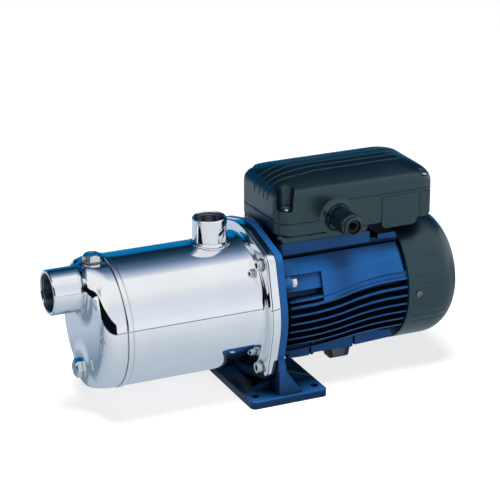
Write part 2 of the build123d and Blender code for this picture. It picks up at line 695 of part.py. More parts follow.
# ---------------------------------------------------------------- terminal box
def end_inset(drop, wide_r):
    """How far an end of the lid has drawn in at a level below the crest."""
    turn = radians(LID_HEEL_TURN)
    wide_fall = wide_r * (1 - cos(turn))
    if drop < wide_fall:
        to_crest = wide_r * sin(turn) - sqrt(wide_r ** 2 - (wide_r - drop) ** 2)
        return LID_HEEL_R * (1 - sin(turn)) + to_crest
    height = max(LID_HEEL_R * cos(turn) - (drop - wide_fall), 0)
    return LID_HEEL_R - sqrt(LID_HEEL_R ** 2 - height ** 2)


def half_width(drop):
    """Half the width of the lid at a level below the crest."""
    crown = sqrt(LID_CROWN_R ** 2 - (LID_CROWN_R - drop) ** 2)
    if crown < LID_EAVE_HALF:
        return crown
    eave_drop = LID_CROWN_R - sqrt(LID_CROWN_R ** 2 - LID_EAVE_HALF ** 2)
    rise = LID_EAVE_R * sqrt(1 - (LID_EAVE_HALF / LID_CROWN_R) ** 2)
    height = max(rise - (drop - eave_drop), 0)
    return BOX_HALF - LID_EAVE_R + sqrt(LID_EAVE_R ** 2 - height ** 2)


def box_level(drop, inset):
    """Rounded outline of the box at a level below the crest."""
    front, rear = end_inset(drop, LID_FRONT_R), end_inset(drop, LID_REAR_R)
    x_from, x_to = BOX_X0 + front + inset, BOX_X1 - rear - inset
    half = half_width(drop) - inset
    corner = min(BOX_CORNER + 0.2 * front - inset, 0.62 * half)
    outline = RectangleRounded(x_to - x_from, 2 * half, corner)
    return Pos((x_from + x_to) / 2, 0, BOX_CREST_Z - drop - inset) * outline


def box_prism(inset):
    """Straight-sided lower part of the box, up to where the lid starts to draw in."""
    outline = box_level(LID_DROPS[0], inset)
    return extrude(outline, BOX_CREST_Z - LID_DROPS[0] - BOX_Z0 - 2 * inset, dir=(0, 0, -1))


def box_form(inset):
    """Whole outside of the terminal box, or its hollow when inset by the wall."""
    return box_prism(inset) + loft([box_level(drop, inset) for drop in LID_DROPS])


def split_cut(gap=0.0):
    """Everything above the joint between box and lid."""
    middle = ((SPLIT_BEND_X0 + SPLIT_BEND_X1) / 2, (SPLIT_LOW_Z + SPLIT_HIGH_Z) / 2 + gap)
    low, high = SPLIT_LOW_Z + gap, SPLIT_HIGH_Z + gap
    start, end = (SPLIT_BEND_X0, low), (SPLIT_BEND_X1, high)
    edge = [Line((-10, low), start), TangentArc(start, middle, tangent=(1, 0)),
            TangentArc(middle, end, tangent=(-1, 0), tangent_from_first=False), Line(end, (210, high)),
            Line((210, high), (210, 260)), Line((210, 260), (-10, 260)), Line((-10, 260), (-10, low))]
    return extrude(SIDE * make_face(edge), 70, both=True)


def terminal_box_base():
    shell = box_prism(0) - box_prism(BOX_WALL) - split_cut()
    shell -= block(BOX_X0 + 25, BOX_X1 - 25, -BOX_HALF + 25, BOX_HALF - 25, 210, 230)
    plinth = block(PAD_X, PAD_END_X, -PAD_HALF, PAD_HALF, PAD_Z, BOX_Z0 + 0.5)
    shell += fillet(plinth.edges().filter_by(Axis.Z).group_by(Axis.X)[0], PAD_CORNER)
    shell += cross_bar(GLAND_X, GLAND_Z, GLAND_FACE_Y, -BOX_HALF + 0.5, GLAND_BOSS_R) - split_cut()
    shell += block(126, 170, -BOX_HALF - 1, -BOX_HALF + 1, 174.5, 210)
    shell += block(173, 184, -BOX_HALF - 0.5, -BOX_HALF + 1, 184, 209)
    shell -= cross_bar(GLAND_X, GLAND_Z, GLAND_FACE_Y, -BOX_HALF + BOX_WALL + 1, GLAND_STEM_R + 0.2)
    for x, y, z in LID_SCREWS:
        shell += post(x, y, BOX_Z0 + 1, z - 16, 4.5) & box_prism(0)
        shell -= post(x, y, z - 26, z, LID_SCREW_R + 0.05)
    return shell - block(60, 90, -20, 20, PAD_Z, BOX_Z0 + BOX_WALL)


def terminal_box_lid():
    outside = box_form(0)
    shell = outside - box_form(BOX_WALL)
    for x, y, z in LID_SCREWS:
        well_x, well_y, well_r = LID_WELLS[x]
        well_y = copysign(well_y, y)
        shell += post(well_x, well_y, z - 15, BOX_CREST_Z, well_r + BOX_WALL) & outside
        shell -= post(well_x, well_y, z, BOX_CREST_Z + 1, well_r)
        shell -= post(x, y, z - 16, z, LID_SCREW_R + 0.4)
    shell &= split_cut(GASKET_T)
    skin = box_form(-0.7) - box_form(0.5)
    for y in LID_RIDGES:
        shell += skin & block(BOX_X0 - 2, BOX_X1 - 20, y - 0.6, y + 0.6, LID_RIDGE_Z, BOX_CREST_Z + 2)
    return shell


def lid_screws():
    screws = []
    for x, y, z in LID_SCREWS:
        head = chamfer(post(x, y, z, z + 2.6, 3.6).edges().sort_by(Axis.Z)[-1], 0.9)
        screws.append(head + post(x, y, z - 24, z, LID_SCREW_R))
    return Compound(children=screws)


def box_gasket():
    band = extrude(box_level(LID_DROPS[0], 0.3), 30, dir=(0, 0, -1))
    band -= extrude(box_level(LID_DROPS[0], BOX_WALL), 30, dir=(0, 0, -1))
    return band & (split_cut() - split_cut(GASKET_T))


def capacitor():
    return rod(110, 168, 15.0, 26, 216)


def terminal_block():
    body = block(96, 124, -24, 24, BOX_Z0 + BOX_WALL, 198)
    for step in range(4):
        body -= block(95, 125, -21 + 12 * step, -14 + 12 * step, 190, 199)
    return body


# ---------------------------------------------------------------- cable gland
def gland_bar(y_from, y_to, radius):
    return cross_bar(GLAND_X, GLAND_Z, y_from, y_to, radius)


def gland_body():
    hexagon = extrude(RegularPolygon(14.5, 6, major_radius=False), 5)
    flange = Pos(GLAND_X, GLAND_FACE_Y, GLAND_Z) * Rot(90, 0, 0) * hexagon
    return flange + gland_bar(-80, -50, GLAND_STEM_R) - gland_bar(-80, -50, GLAND_STEM_R - 3)


def gland_nut():
    nut = gland_bar(GLAND_NUT_Y, -68, GLAND_NUT_R)
    nut = fillet(nut.edges().filter_by(GeomType.CIRCLE).sort_by(Axis.Y)[0], 4.5)
    return nut - gland_bar(-90, -68, GLAND_STEM_R + 0.1) - gland_bar(GLAND_NUT_Y, -68, 8.0)


def gland_seal():
    return gland_bar(-94, -80, 7.9) - gland_bar(-94, -80, CABLE_R)


# ---------------------------------------------------------------- motor support
def support_pad():
    outline = Polygon((BUMPER_X0, 19), (BUMPER_X1, 19), (BUMPER_X1 - 3, BUMPER_Z),
                      (BUMPER_X0 + 5, BUMPER_Z), align=None)
    pad = extrude(SIDE * outline, BUMPER_HALF, both=True)
    return fillet(pad.edges().group_by(Axis.Z)[0], 2.5)


def support_bracket():
    outline = Polygon((BUMPER_X0 + 2, BASE_Z), (BUMPER_X1 - 2, BASE_Z), (BUMPER_X1 - 9, 7.5),
                      (BUMPER_X0 + 8, 7.5), align=None)
    sides = extrude(SIDE * outline, BUMPER_HALF + 1.5, both=True)
    sides -= extrude(SIDE * outline, BUMPER_HALF, both=True)
    top = block(BUMPER_X0 + 2, BUMPER_X1 - 2, -BUMPER_HALF - 1.5, BUMPER_HALF + 1.5, BASE_Z - 1.5, BASE_Z)
    return sides + top


pieces = {
    "casing_barrel": casing_barrel(),
    "casing_end_cap": casing_end_cap(),
    "suction_socket": suction_socket(),
    "discharge_socket": discharge_socket(),
    "clamp_ring": clamp_ring(),
    "clamp_screws": clamp_screws(),
    "clamp_washers": clamp_washers(),
    "fill_plug": FILL_SEAT * plug(),
    "fill_plug_seal": FILL_SEAT * plug_seal(),
    "drain_plug": DRAIN_SEAT * plug(),
    "drain_plug_seal": DRAIN_SEAT * plug_seal(),
    "casing_o_ring": casing_o_ring(),
    "seal_plate": seal_plate(),
    "diffuser": diffuser(),
    "ejector_body": ejector_body(),
    "jet_nozzle": jet_nozzle(),
    "venturi_tube": venturi_tube(),
    "impeller": impeller(),
    "impeller_nut": impeller_nut(),
    "impeller_key": impeller_key(),
    "seal_head": seal_head(),
    "seal_spring": seal_spring(),
    "seal_seat": seal_seat(),
    "water_slinger": water_slinger(),
    "pump_shaft": pump_shaft(),
    "front_bearing_outer": bearing_outer(12, 24, 20, 14.2),
    "front_bearing_inner": bearing_inner(12, 24, 14.2, SHAFT_FRONT_R),
    "rear_bearing_outer": bearing_outer(133, 144, 17.5, 12.5),
    "rear_bearing_inner": bearing_inner(133, 144, 12.5, SHAFT_REAR_R),
    "motor_bracket": motor_bracket(),
    "motor_frame": motor_frame(),
    "tie_bolts": tie_bolts(),
    "stator_core": stator_core(),
    "front_winding": stator_winding(25, 45),
    "rear_winding": stator_winding(115, 135),
    "rotor_core": rotor_core(),
    "rear_end_shield": rear_end_shield(),
    "wave_washer": wave_washer(),
    "fan": fan(),
    "fan_clip": fan_clip(),
    "fan_cover": fan_cover(),
    "fan_cover_screws": cover_screws(),
    "terminal_box_base": terminal_box_base(),
    "terminal_box_lid": terminal_box_lid(),
    "box_gasket": box_gasket(),
    "lid_screws": lid_screws(),
    "terminal_block": terminal_block(),
    "capacitor": capacitor(),
    "gland_body": gland_body(),
    "gland_nut": gland_nut(),
    "gland_seal": gland_seal(),
    "support_bracket": support_bracket(),
    "support_pad": support_pad(),
}

os.makedirs("parts", exist_ok=True)
for name, shape in pieces.items():
    export_step(shape, f"parts/{name}.step")
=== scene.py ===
"""Looks of the shallow well jet pump: polished casing, painted castings, moulded covers.

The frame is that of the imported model: +Z up, +X from the suction port to the fan, the origin
between the four bolt holes of the foot. Outlines and lengths of the pump are written in
millimetres, and only new_piece, thicken, soft_edges and soften turn them into metres. The
studio is in metres.
"""

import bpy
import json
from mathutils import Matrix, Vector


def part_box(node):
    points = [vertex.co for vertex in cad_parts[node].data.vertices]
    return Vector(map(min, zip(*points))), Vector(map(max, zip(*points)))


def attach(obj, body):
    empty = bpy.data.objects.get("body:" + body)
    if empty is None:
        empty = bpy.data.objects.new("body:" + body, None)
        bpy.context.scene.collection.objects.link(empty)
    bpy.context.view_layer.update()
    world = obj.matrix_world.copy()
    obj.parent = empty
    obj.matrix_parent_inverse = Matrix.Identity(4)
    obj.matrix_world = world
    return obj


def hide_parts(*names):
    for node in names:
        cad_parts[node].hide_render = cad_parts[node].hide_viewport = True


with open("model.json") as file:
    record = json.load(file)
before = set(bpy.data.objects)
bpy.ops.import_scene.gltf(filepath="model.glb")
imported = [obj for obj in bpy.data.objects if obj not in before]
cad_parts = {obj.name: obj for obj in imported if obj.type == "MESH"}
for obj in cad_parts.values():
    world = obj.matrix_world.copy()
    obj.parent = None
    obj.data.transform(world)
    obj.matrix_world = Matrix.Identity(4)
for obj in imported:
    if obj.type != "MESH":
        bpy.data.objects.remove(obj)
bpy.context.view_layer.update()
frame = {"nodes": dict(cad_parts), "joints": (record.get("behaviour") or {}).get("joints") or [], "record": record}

import json
from math import acos, atan2, cos, pi, radians, sin, sqrt

import bpy
import numpy as np
from mathutils import Vector

# ---- places read from the frame
MM = 0.001
TIP = 0.05                       # turned profiles end this far from their axis
NEAR = 1e-6                      # lengths this close, in millimetres, count as the same
MOUNTS = {mount["name"]: mount for mount in frame["record"]["mounts"]}
SHAFT = next(joint for joint in frame["joints"] if joint["name"] == "shaft_spin")
AXIS_Z = SHAFT["pos_m"][2] / MM


def low(node):
    """Lowest corner of a CAD node, in millimetres."""
    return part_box(node)[0] / MM


def high(node):
    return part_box(node)[1] / MM


# ---- shader nodes
def feed(tree, node, inputs):
    """Gives each named input of a node a socket to follow or a plain value."""
    for label, value in inputs.items():
        if isinstance(value, bpy.types.NodeSocket):
            tree.links.new(value, node.inputs[label])
        else:
            node.inputs[label].default_value = value
    return node


def add_node(tree, kind, inputs=None, **settings):
    """New node of one kind, with its settings and its inputs."""
    node = tree.nodes.new("ShaderNode" + kind)
    for label, value in settings.items():
        setattr(node, label, value)
    return feed(tree, node, inputs or {})


def arithmetic(tree, operation, first, second):
    return add_node(tree, "Math", {0: first, 1: second}, operation=operation).outputs["Value"]


def mixed(tree, share, first, second):
    mix = add_node(tree, "Mix", {"Factor": share, "A": first, "B": second}, data_type="RGBA")
    return mix.outputs["Result"]


def noise(tree, scale, detail):
    """Noise texture in object space, so it stays with the piece."""
    place = add_node(tree, "TexCoord").outputs["Object"]
    texture = add_node(tree, "TexNoise", {"Vector": place, "Scale": scale, "Detail": detail})
    return texture.outputs["Fac"]


def spread(tree, value, smallest, largest):
    """Maps a 0.3 to 0.7 noise value onto the range between two numbers or sockets."""
    ramp = add_node(tree, "MapRange", {"Value": value, "From Min": 0.3, "From Max": 0.7,
                                       "To Min": smallest, "To Max": largest})
    return ramp.outputs["Result"]


# ---- effects shared by the materials
NUMBER, COLOUR = "NodeSocketFloat", "NodeSocketColor"


def new_group(name, inputs, output, kind):
    """Shader node group; inputs are (name, kind, value) rows, and it puts out one named value."""
    group = bpy.data.node_groups.new(name, "ShaderNodeTree")
    for label, socket_kind, value in inputs:
        socket = group.interface.new_socket(label, in_out="INPUT", socket_type=socket_kind)
        if value is not None:
            socket.default_value = value
    group.interface.new_socket(output, in_out="OUTPUT", socket_type=kind)
    return group, group.nodes.new("NodeGroupInput").outputs, group.nodes.new("NodeGroupOutput")


def handling_marks():
    """Faint wipes and haze: a roughness that drifts between two values."""
    group, given, leave = new_group(
        "handling_marks", [("Clean", NUMBER, 0.05), ("Hazy", NUMBER, 0.1)], "Roughness", NUMBER)
    broad = noise(group, 22.0, 4.0)
    feed(group, leave, {"Roughness": spread(group, broad, given["Clean"], given["Hazy"])})
    return group


def tone_drift():
    """Slow change of shade over a surface, between two colours."""
    group, given, leave = new_group(
        "tone_drift", [("Base", COLOUR, None), ("Drift", COLOUR, None), ("Scale", NUMBER, 14.0)],
        "Color", COLOUR)
    share = spread(group, noise(group, given["Scale"], 3.0), 0.0, 1.0)
    feed(group, leave, {"Color": mixed(group, share, given["Base"], given["Drift"])})
    return group


def surface_grain():
    """Height of a fine grain over a coarser unevenness, each with its own scale and depth."""
    group, given, leave = new_group(
        "surface_grain", [("Fine Scale", NUMBER, 900.0), ("Fine", NUMBER, 1.0),
                          ("Broad Scale", NUMBER, 90.0), ("Broad", NUMBER, 0.5)],
        "Height", NUMBER)
    fine, broad = [arithmetic(group, "MULTIPLY", noise(group, given[size], detail), given[depth])
                   for size, depth, detail in (("Fine Scale", "Fine", 2.0),
                                               ("Broad Scale", "Broad", 3.0))]
    feed(group, leave, {"Height": arithmetic(group, "ADD", fine, broad)})
    return group


def painted_crevice_shade():
    """Painted shade: colour that deepens where surfaces stand close together, as at the roots of the fins."""
    group, given, leave = new_group(
        "painted_crevice_shade", [("Color", COLOUR, None), ("Deep", COLOUR, None),
                          ("Reach", NUMBER, 0.05), ("Power", NUMBER, 2.0)],
        "Color", COLOUR)
    closeness = add_node(group, "AmbientOcclusion", {"Distance": given["Reach"]}, samples=12)
    share = arithmetic(group, "POWER", closeness.outputs["AO"], given["Power"])
    feed(group, leave, {"Color": mixed(group, share, given["Deep"], given["Color"])})
    return group


# crevice darkens the base colour in crevices: painted shade
EFFECTS = {"marks": handling_marks(), "drift": tone_drift(), "grain": surface_grain(),
           "crevice": painted_crevice_shade()}


def effect(tree, name, values):
    """Places one shared effect in a material, with that material's own values."""
    return add_node(tree, "Group", values, node_tree=EFFECTS[name]).outputs[0]


def linear(red, green, blue):
    """Linear colour of an 8-bit screen colour."""
    def channel(value):
        value /= 255
        return value / 12.92 if value <= 0.04045 else ((value + 0.055) / 1.055) ** 2.4
    return channel(red), channel(green), channel(blue), 1.0


# ---- materials, one per finish
def finish(name, colour, drift, marks, grain=None, bump=0.0, depth=0.0001, metallic=0.0,
           gloss=0.5, gloss_tint=(1.0, 1.0, 1.0, 1.0), crevice=None):
    """Principled material: colour and drift as screen colours, marks as a pair of roughnesses,
    grain as (fine scale, fine, broad scale, broad), crevice as (colour of the painted
    shade in crevices, reach, power)."""
    material = bpy.data.materials.new(name)
    material.use_nodes = True
    tree = material.node_tree
    shader = tree.nodes["Principled BSDF"]
    tone = effect(tree, "drift", {"Base": linear(*colour), "Drift": linear(*drift), "Scale": 14.0})
    # painted shade: the base colour darkens towards a given dark colour where surfaces stand close together
    if crevice:
        deep, reach, power = crevice
        tone = effect(tree, "crevice", {"Color": tone, "Deep": linear(*deep), "Reach": reach,
                                        "Power": power})
    feed(tree, shader, {
        "Metallic": metallic, "Specular IOR Level": gloss, "Specular Tint": gloss_tint,
        "Base Color": tone, "Roughness": effect(tree, "marks", {"Clean": marks[0], "Hazy": marks[1]})})
    if grain:
        rows = zip(("Fine Scale", "Fine", "Broad Scale", "Broad"), grain)
        height = add_node(tree, "Bump", {"Strength": bump, "Distance": depth,
                                         "Height": effect(tree, "grain", dict(rows))})
        feed(tree, shader, {"Normal": height.outputs["Normal"]})
    material.diffuse_color = linear(*colour)
    return material


FINE_METAL = (900.0, 1.0, 120.0, 0.4)
TURNED_METAL = (900.0, 1.0, 150.0, 0.5)
# name, colour, drift colour, roughness from and to, grain, bump strength, what differs from plain
FINISH_ROWS = [
    # the dark colour in the polished stainless row is painted shade for seams and tight corners
    ("polished_stainless", (241, 243, 245), (233, 236, 240), (0.03, 0.065),
     (350.0, 0.15, 26.0, 1.0), 0.05,
     {"depth": 0.0003, "metallic": 1.0, "crevice": ((16, 24, 34), 0.0035, 1.8)}),
    # stainless_inner is far darker than bare steel: painted shade for the threaded bores and inner steel parts
    ("stainless_inner", (112, 118, 126), (92, 98, 106), (0.25, 0.4), FINE_METAL, 0.15,
     {"metallic": 1.0}),
    ("nickel_plate", (232, 233, 232), (220, 221, 220), (0.08, 0.16), (700.0, 1.0, 120.0, 0.6), 0.12,
     {"metallic": 1.0}),
    # the dark colour in the zinc steel row is painted shade in the screw sockets and recesses
    ("zinc_steel", (240, 241, 243), (222, 225, 229), (0.14, 0.24), TURNED_METAL, 0.15,
     {"metallic": 1.0, "crevice": ((14, 18, 24), 0.004, 2.5)}),
    ("blackened_steel", (128, 134, 138), (104, 110, 114), (0.14, 0.24), TURNED_METAL, 0.15,
     {"metallic": 1.0}),
    # the near-black colour in the blue casting row is painted shade at the fin roots and under the casing
    ("blue_casting", (26, 80, 137), (20, 71, 126), (0.3, 0.42), (420.0, 0.5, 110.0, 1.0), 0.22,
     {"depth": 0.0004, "gloss": 0.17, "crevice": ((2, 5, 12), 0.05, 2.2)}),
    ("bearing_steel", (200, 202, 205), (188, 190, 194), (0.1, 0.2), None, 0.0, {"metallic": 1.0}),
    ("lamination_steel", (120, 122, 126), (96, 98, 102), (0.4, 0.6), (1200.0, 1.0, 60.0, 0.4), 0.3,
     {"metallic": 0.9}),
    ("winding_copper", (178, 98, 52), (140, 70, 36), (0.3, 0.45), (700.0, 1.0, 160.0, 0.8), 0.6,
     {"depth": 0.0004, "metallic": 0.8}),
    ("black_plastic", (3, 10, 16), (2, 8, 13), (0.24, 0.34), (1500.0, 1.0, 240.0, 0.5), 0.2,
     {"depth": 0.0002, "gloss": 1.0, "gloss_tint": (0.56, 0.92, 1.0, 1.0)}),
    ("inner_plastic", (52, 54, 58), (44, 46, 50), (0.4, 0.55), FINE_METAL, 0.2, {}),
    ("impeller_plastic", (206, 200, 184), (196, 190, 172), (0.25, 0.4), FINE_METAL, 0.15, {}),
    ("nozzle_brass", (196, 162, 92), (178, 144, 78), (0.18, 0.32), FINE_METAL, 0.12,
     {"metallic": 1.0}),
    ("black_rubber", (12, 15, 18), (18, 22, 25), (0.55, 0.75), (800.0, 1.0, 130.0, 0.6), 0.3, {}),
    ("fibre_seal", (92, 94, 96), (76, 78, 80), (0.5, 0.7), (1100.0, 1.0, 200.0, 0.8), 0.4, {}),
    ("seal_ceramic", (228, 224, 214), (220, 216, 206), (0.15, 0.25), None, 0.0, {}),
    ("capacitor_case", (206, 208, 210), (196, 198, 202), (0.25, 0.4), None, 0.0, {}),
]
FINISHES = {row[0]: finish(*row[:6], **row[6]) for row in FINISH_ROWS}


# ---- mesh building
def new_piece(name, points, faces, slot_name, body="pump", sharp=None):
    """Mesh piece from points in millimetres, riding on a body, smooth shaded, in the finish of
    one material slot."""
    mesh = bpy.data.meshes.new(name)
    mesh.from_pydata((np.array(points, float) * MM).tolist(), [], faces)
    mesh.polygons.foreach_set("use_smooth", [True] * len(mesh.polygons))
    mesh.materials.append(FINISHES[slot_name])
    piece = bpy.data.objects.new(name, mesh)
    bpy.context.scene.collection.objects.link(piece)
    if sharp:
        mesh.set_sharp_from_angle(angle=radians(sharp))
    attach(piece, body)
    return piece


def thicken(piece, thickness, offset=-1.0):
    """Gives a sheet its wall, inwards unless the offset says otherwise."""
    wall = piece.modifiers.new("wall", "SOLIDIFY")
    wall.thickness = thickness * MM
    wall.offset = offset


def soft_edges(piece, width, segments, angle):
    """Rounds the edges that are sharper than an angle."""
    edge = piece.modifiers.new("edge", "BEVEL")
    edge.width = width * MM
    edge.segments = segments
    edge.limit_method = "ANGLE"
    edge.angle_limit = radians(angle)


def circle(count):
    return np.linspace(0, 2 * pi, count, endpoint=False)


def arc(centre, radius, start, end, count):
    """Points of an arc in a plane; radius may be a pair, for part of an ellipse."""
    turns = np.linspace(start, end, count)
    first, second = np.broadcast_to(radius, (2,))
    return list(zip(centre[0] + first * np.cos(turns), centre[1] + second * np.sin(turns)))


def sag(radius, reach):
    """How far an arc has fallen at some distance from its crest."""
    return radius - np.sqrt(radius ** 2 - reach ** 2)


def lattice(points, wrap_rows=False, keep=None):
    """Vertices and quads of a grid of points, rows by closed columns; keep says which stay."""
    rows, columns = points.shape[:2]
    faces = []
    for row in range(rows if wrap_rows else rows - 1):
        for column in range(columns):
            after, beside = (row + 1) % rows, (column + 1) % columns
            if keep is None or keep[row, column]:
                faces.append((row * columns + column, row * columns + beside,
                              after * columns + beside, after * columns + column))
    return points.reshape(-1, 3), faces


def skin(name, rows, slot_name, body="pump", sharp=None, **how):
    """Piece spanned over rows of points; how goes to lattice()."""
    return new_piece(name, *lattice(np.array(rows), **how), slot_name, body, sharp)


def rounded(outline, radii, steps=5):
    """Open 2D outline with its inner corners turned into arcs; radii has one value per point."""
    result = [outline[0]]
    for before, corner, after, radius in zip(outline, outline[1:], outline[2:], radii[1:]):
        corner = np.array(corner, float)
        into, away = np.array(before) - corner, np.array(after) - corner
        into, away = into / np.linalg.norm(into), away / np.linalg.norm(away)
        half = acos(np.clip(into @ away, -1, 1)) / 2
        if radius <= 0 or half > pi / 2 - 0.01:
            result.append(tuple(corner))
            continue
        centre = corner + (into + away) / np.linalg.norm(into + away) * radius / sin(half)
        first = corner + into * radius / np.tan(half) - centre
        last = corner + away * radius / np.tan(half) - centre
        for share in np.linspace(0, 1, steps + 1):
            mixed = first * (1 - share) + last * share
            result.append(tuple(centre + mixed / np.linalg.norm(mixed) * radius))
    return result + [outline[-1]]


def around(profile, columns, axis, centre, scale=None):
    """Grid of points: a (distance along, radius) profile turned about an axis through centre."""
    angles = circle(columns)
    profile = np.array(profile, float)
    along = np.repeat(profile[:, :1], columns, 1)
    radius = np.repeat(profile[:, 1:2], columns, 1)
    if scale is not None:
        along, radius = scale(along, radius, angles)
    side, up = radius * np.cos(angles), radius * np.sin(angles)
    parts = {"X": (along, side, up), "-X": (-along, -side, up), "Y": (side, along, up),
             "-Y": (side, -along, -up), "Z": (side, up, along)}[axis]
    return np.stack(parts, 2) + np.array(centre, float)


def turned(name, profile, slot_name, axis="X", centre=(0, 0, 0), body="pump", columns=96,
           scale=None, closed=True, sharp=None):
    """Turned piece of (along, radius) points. A closed profile makes a ring; scale may reshape
    the profile by angle."""
    grid = around(profile, columns, axis, centre, scale)
    return skin(name, grid, slot_name, body, sharp, wrap_rows=closed)


def ring_outline(corners, radius, steps=4):
    """Closed profile with its corners rounded, by one radius or by one for each corner."""
    radii = np.broadcast_to(radius, (len(corners),))
    closed = corners[-1:] + corners + corners[:1]
    result = []
    for index, corner_radius in enumerate(radii):
        result += rounded(closed[index:index + 3], [0, corner_radius, 0], steps)[1:-1]
    return result


# ---- flange outline
FLANGE_R = high("clamp_ring").z - AXIS_Z
EAR_R = 13.0
EAR_PITCH_R = 86.0
SCREW_PITCH_R = 85.5
EAR_ANGLES = [radians(angle) for angle in (45, 135, 225, 315)]
EAR_LEAN = acos((FLANGE_R - EAR_R) / EAR_PITCH_R)
EAR_SPAN = atan2(EAR_R * sin(EAR_LEAN), EAR_PITCH_R + EAR_R * cos(EAR_LEAN))


def flange_radius(angle):
    """Distance of the flange's edge from the shaft axis, in one direction."""
    turn = abs(angle % (pi / 2) - pi / 4)
    if turn > EAR_LEAN:
        return FLANGE_R
    if turn > EAR_SPAN:
        return FLANGE_R / cos(turn - EAR_LEAN)
    return EAR_PITCH_R * cos(turn) + sqrt(EAR_R ** 2 - (EAR_PITCH_R * sin(turn)) ** 2)


def to_outline(inner_radius):
    """Stretches a profile so that its rim, at FLANGE_R, follows the flange outline."""
    def scale(along, radius, angles):
        edge = np.array([flange_radius(angle) for angle in angles])
        share = np.clip((radius - inner_radius) / (FLANGE_R - inner_radius), 0, None)
        return along, radius + share * (edge - FLANGE_R)[None, :]
    return scale


# ---- casing
CASING_R = 73.3
SHEET = 2.0
SEAM_X = high("casing_end_cap").x
FLANGE_X = high("casing_barrel").x - SHEET
FLARE_R = 5.0
SUCTION = Vector(MOUNTS["suction_port"]["pos_m"]) / MM
SUCTION_R = high("suction_socket").y
SUCTION_BORE = MOUNTS["suction_port"]["dims"]["r_mm"]
DISCHARGE = Vector(MOUNTS["discharge_port"]["pos_m"]) / MM
DISCHARGE_BORE = MOUNTS["discharge_port"]["dims"]["r_mm"]
THREAD_PITCH, THREAD_DEPTH, THREAD_CREST = 25.4 / 11, 1.3, 0.15
RIM_COLUMNS, CAP_COLUMNS, SOCKET_COLUMNS = 720, 540, 192     # points round each turned sheet
DISCHARGE_OUTER = 19.25
COLLAR_R = high("discharge_socket").y
COLLAR_TOP_Z = 172.0


def casing_barrel():
    """Pressed barrel: rolled lip at the seam, long cylinder, flare and eared flange."""
    back = FLANGE_X + SHEET
    flare = arc((FLANGE_X - FLARE_R, CASING_R + FLARE_R), FLARE_R, -pi / 2, 0, 10)
    lip, proud = 6.0, 0.9
    inside = [(back, CASING_R - SHEET), (SEAM_X, CASING_R - SHEET)]
    front = [(SEAM_X, CASING_R - 1.2), (SEAM_X + 0.2, CASING_R + proud),
             (SEAM_X + lip - 0.8, CASING_R + proud),
             (SEAM_X + lip, CASING_R - 0.1), (SEAM_X + lip + 0.9, CASING_R)]
    front = rounded(front, [0, 1.3, 0.6, 0.3, 0], 5)
    length = [(x, CASING_R) for x in np.linspace(SEAM_X + 2 * lip, FLANGE_X - 2 * FLARE_R, 120)]
    face = [(FLANGE_X, CASING_R + FLARE_R + 1.5)]
    rim = [(FLANGE_X, FLANGE_R - 0.6), (FLANGE_X + 0.18, FLANGE_R - 0.18),
           (FLANGE_X + 0.6, FLANGE_R), (back - 0.3, FLANGE_R), (back, FLANGE_R - 0.3)]
    profile = inside + front + length + flare + face + rim
    grid = around(profile, RIM_COLUMNS, "X", (0, 0, AXIS_Z), to_outline(CASING_R + FLARE_R))
    middle = (grid + np.roll(grid, -1, 1)) / 2
    beside = np.hypot(middle[:, :, 0] - DISCHARGE.x, middle[:, :, 1])
    keep = (beside > DISCHARGE_BORE + 1) | (middle[:, :, 2] < AXIS_Z)
    piece = skin("barrel", grid, "polished_stainless", sharp=40, wrap_rows=True, keep=keep)
    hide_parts("casing_barrel")


CAP_KNUCKLE = 20.0
CAP_FACE_X = -209.1
BOSS_R = 30.5
BOSS_X = high("suction_socket").x
BOSS_EDGE = 5.0
BOSS_BLEND, DRAIN_BLEND = 14.0, 11.0      # fillets where the bosses grow out of the dome
BARREL_BLEND, FLAT_BLEND = 0.6, 1.2       # soft edges where the cap is cut to size
DRAIN_Z = 46.5
DRAIN_BOSS_R, DRAIN_EDGE = 22.0, 5.0
DRAIN_BOSS_X = high("drain_plug_seal").x
DRAIN_KNUCKLE = 11.0
FILL_FLAT_Z = low("fill_plug_seal").z
ARROW_Y, ARROW_Z = -60.7, 95.0
ARROW = [(0.0, 12.0), (5.8, 3.4), (2.7, 3.4), (2.7, -12.0), (-2.7, -12.0), (-2.7, 3.4), (-5.8, 3.4)]
ARROW_SECTION = ((-0.8, -0.1), (-0.45, 0.28), (0.0, 0.42), (0.45, 0.28), (0.8, -0.1))


def puck(points, centre_z, radius, front_x, edge):
    """Signed distance to a round-edged cylinder along X, open to the rear."""
    out = np.hypot(points[:, 1], points[:, 2] - centre_z) - (radius - edge)
    ahead = (front_x + edge) - points[:, 0]
    corner = np.hypot(np.maximum(out, 0), np.maximum(ahead, 0))
    return corner + np.minimum(np.maximum(out, ahead), 0) - edge


def join(first, second, blend):
    """Union of two signed distances with a soft fillet."""
    share = np.clip(0.5 + 0.5 * (second - first) / blend, 0, 1)
    return second * (1 - share) + first * share - blend * share * (1 - share)


def cap_distance(points):
    """Signed distance to the end cap: dome, suction boss, drain boss and the flat for the plug."""
    dome = puck(points, AXIS_Z, CASING_R, CAP_FACE_X, CAP_KNUCKLE)
    boss = puck(points, SUCTION.z, BOSS_R, BOSS_X, BOSS_EDGE)
    drain = puck(points, DRAIN_Z, DRAIN_BOSS_R, DRAIN_BOSS_X, DRAIN_EDGE)
    outer = puck(points, AXIS_Z, CASING_R, DRAIN_BOSS_X, DRAIN_KNUCKLE)
    drain = -join(-drain, -outer, 3)
    form = join(join(dome, boss, BOSS_BLEND), drain, DRAIN_BLEND)
    barrel = np.hypot(points[:, 1], points[:, 2] - AXIS_Z) - CASING_R
    form = -join(-form, -barrel, BARREL_BLEND)
    return -join(-form, FILL_FLAT_Z - points[:, 2], FLAT_BLEND)


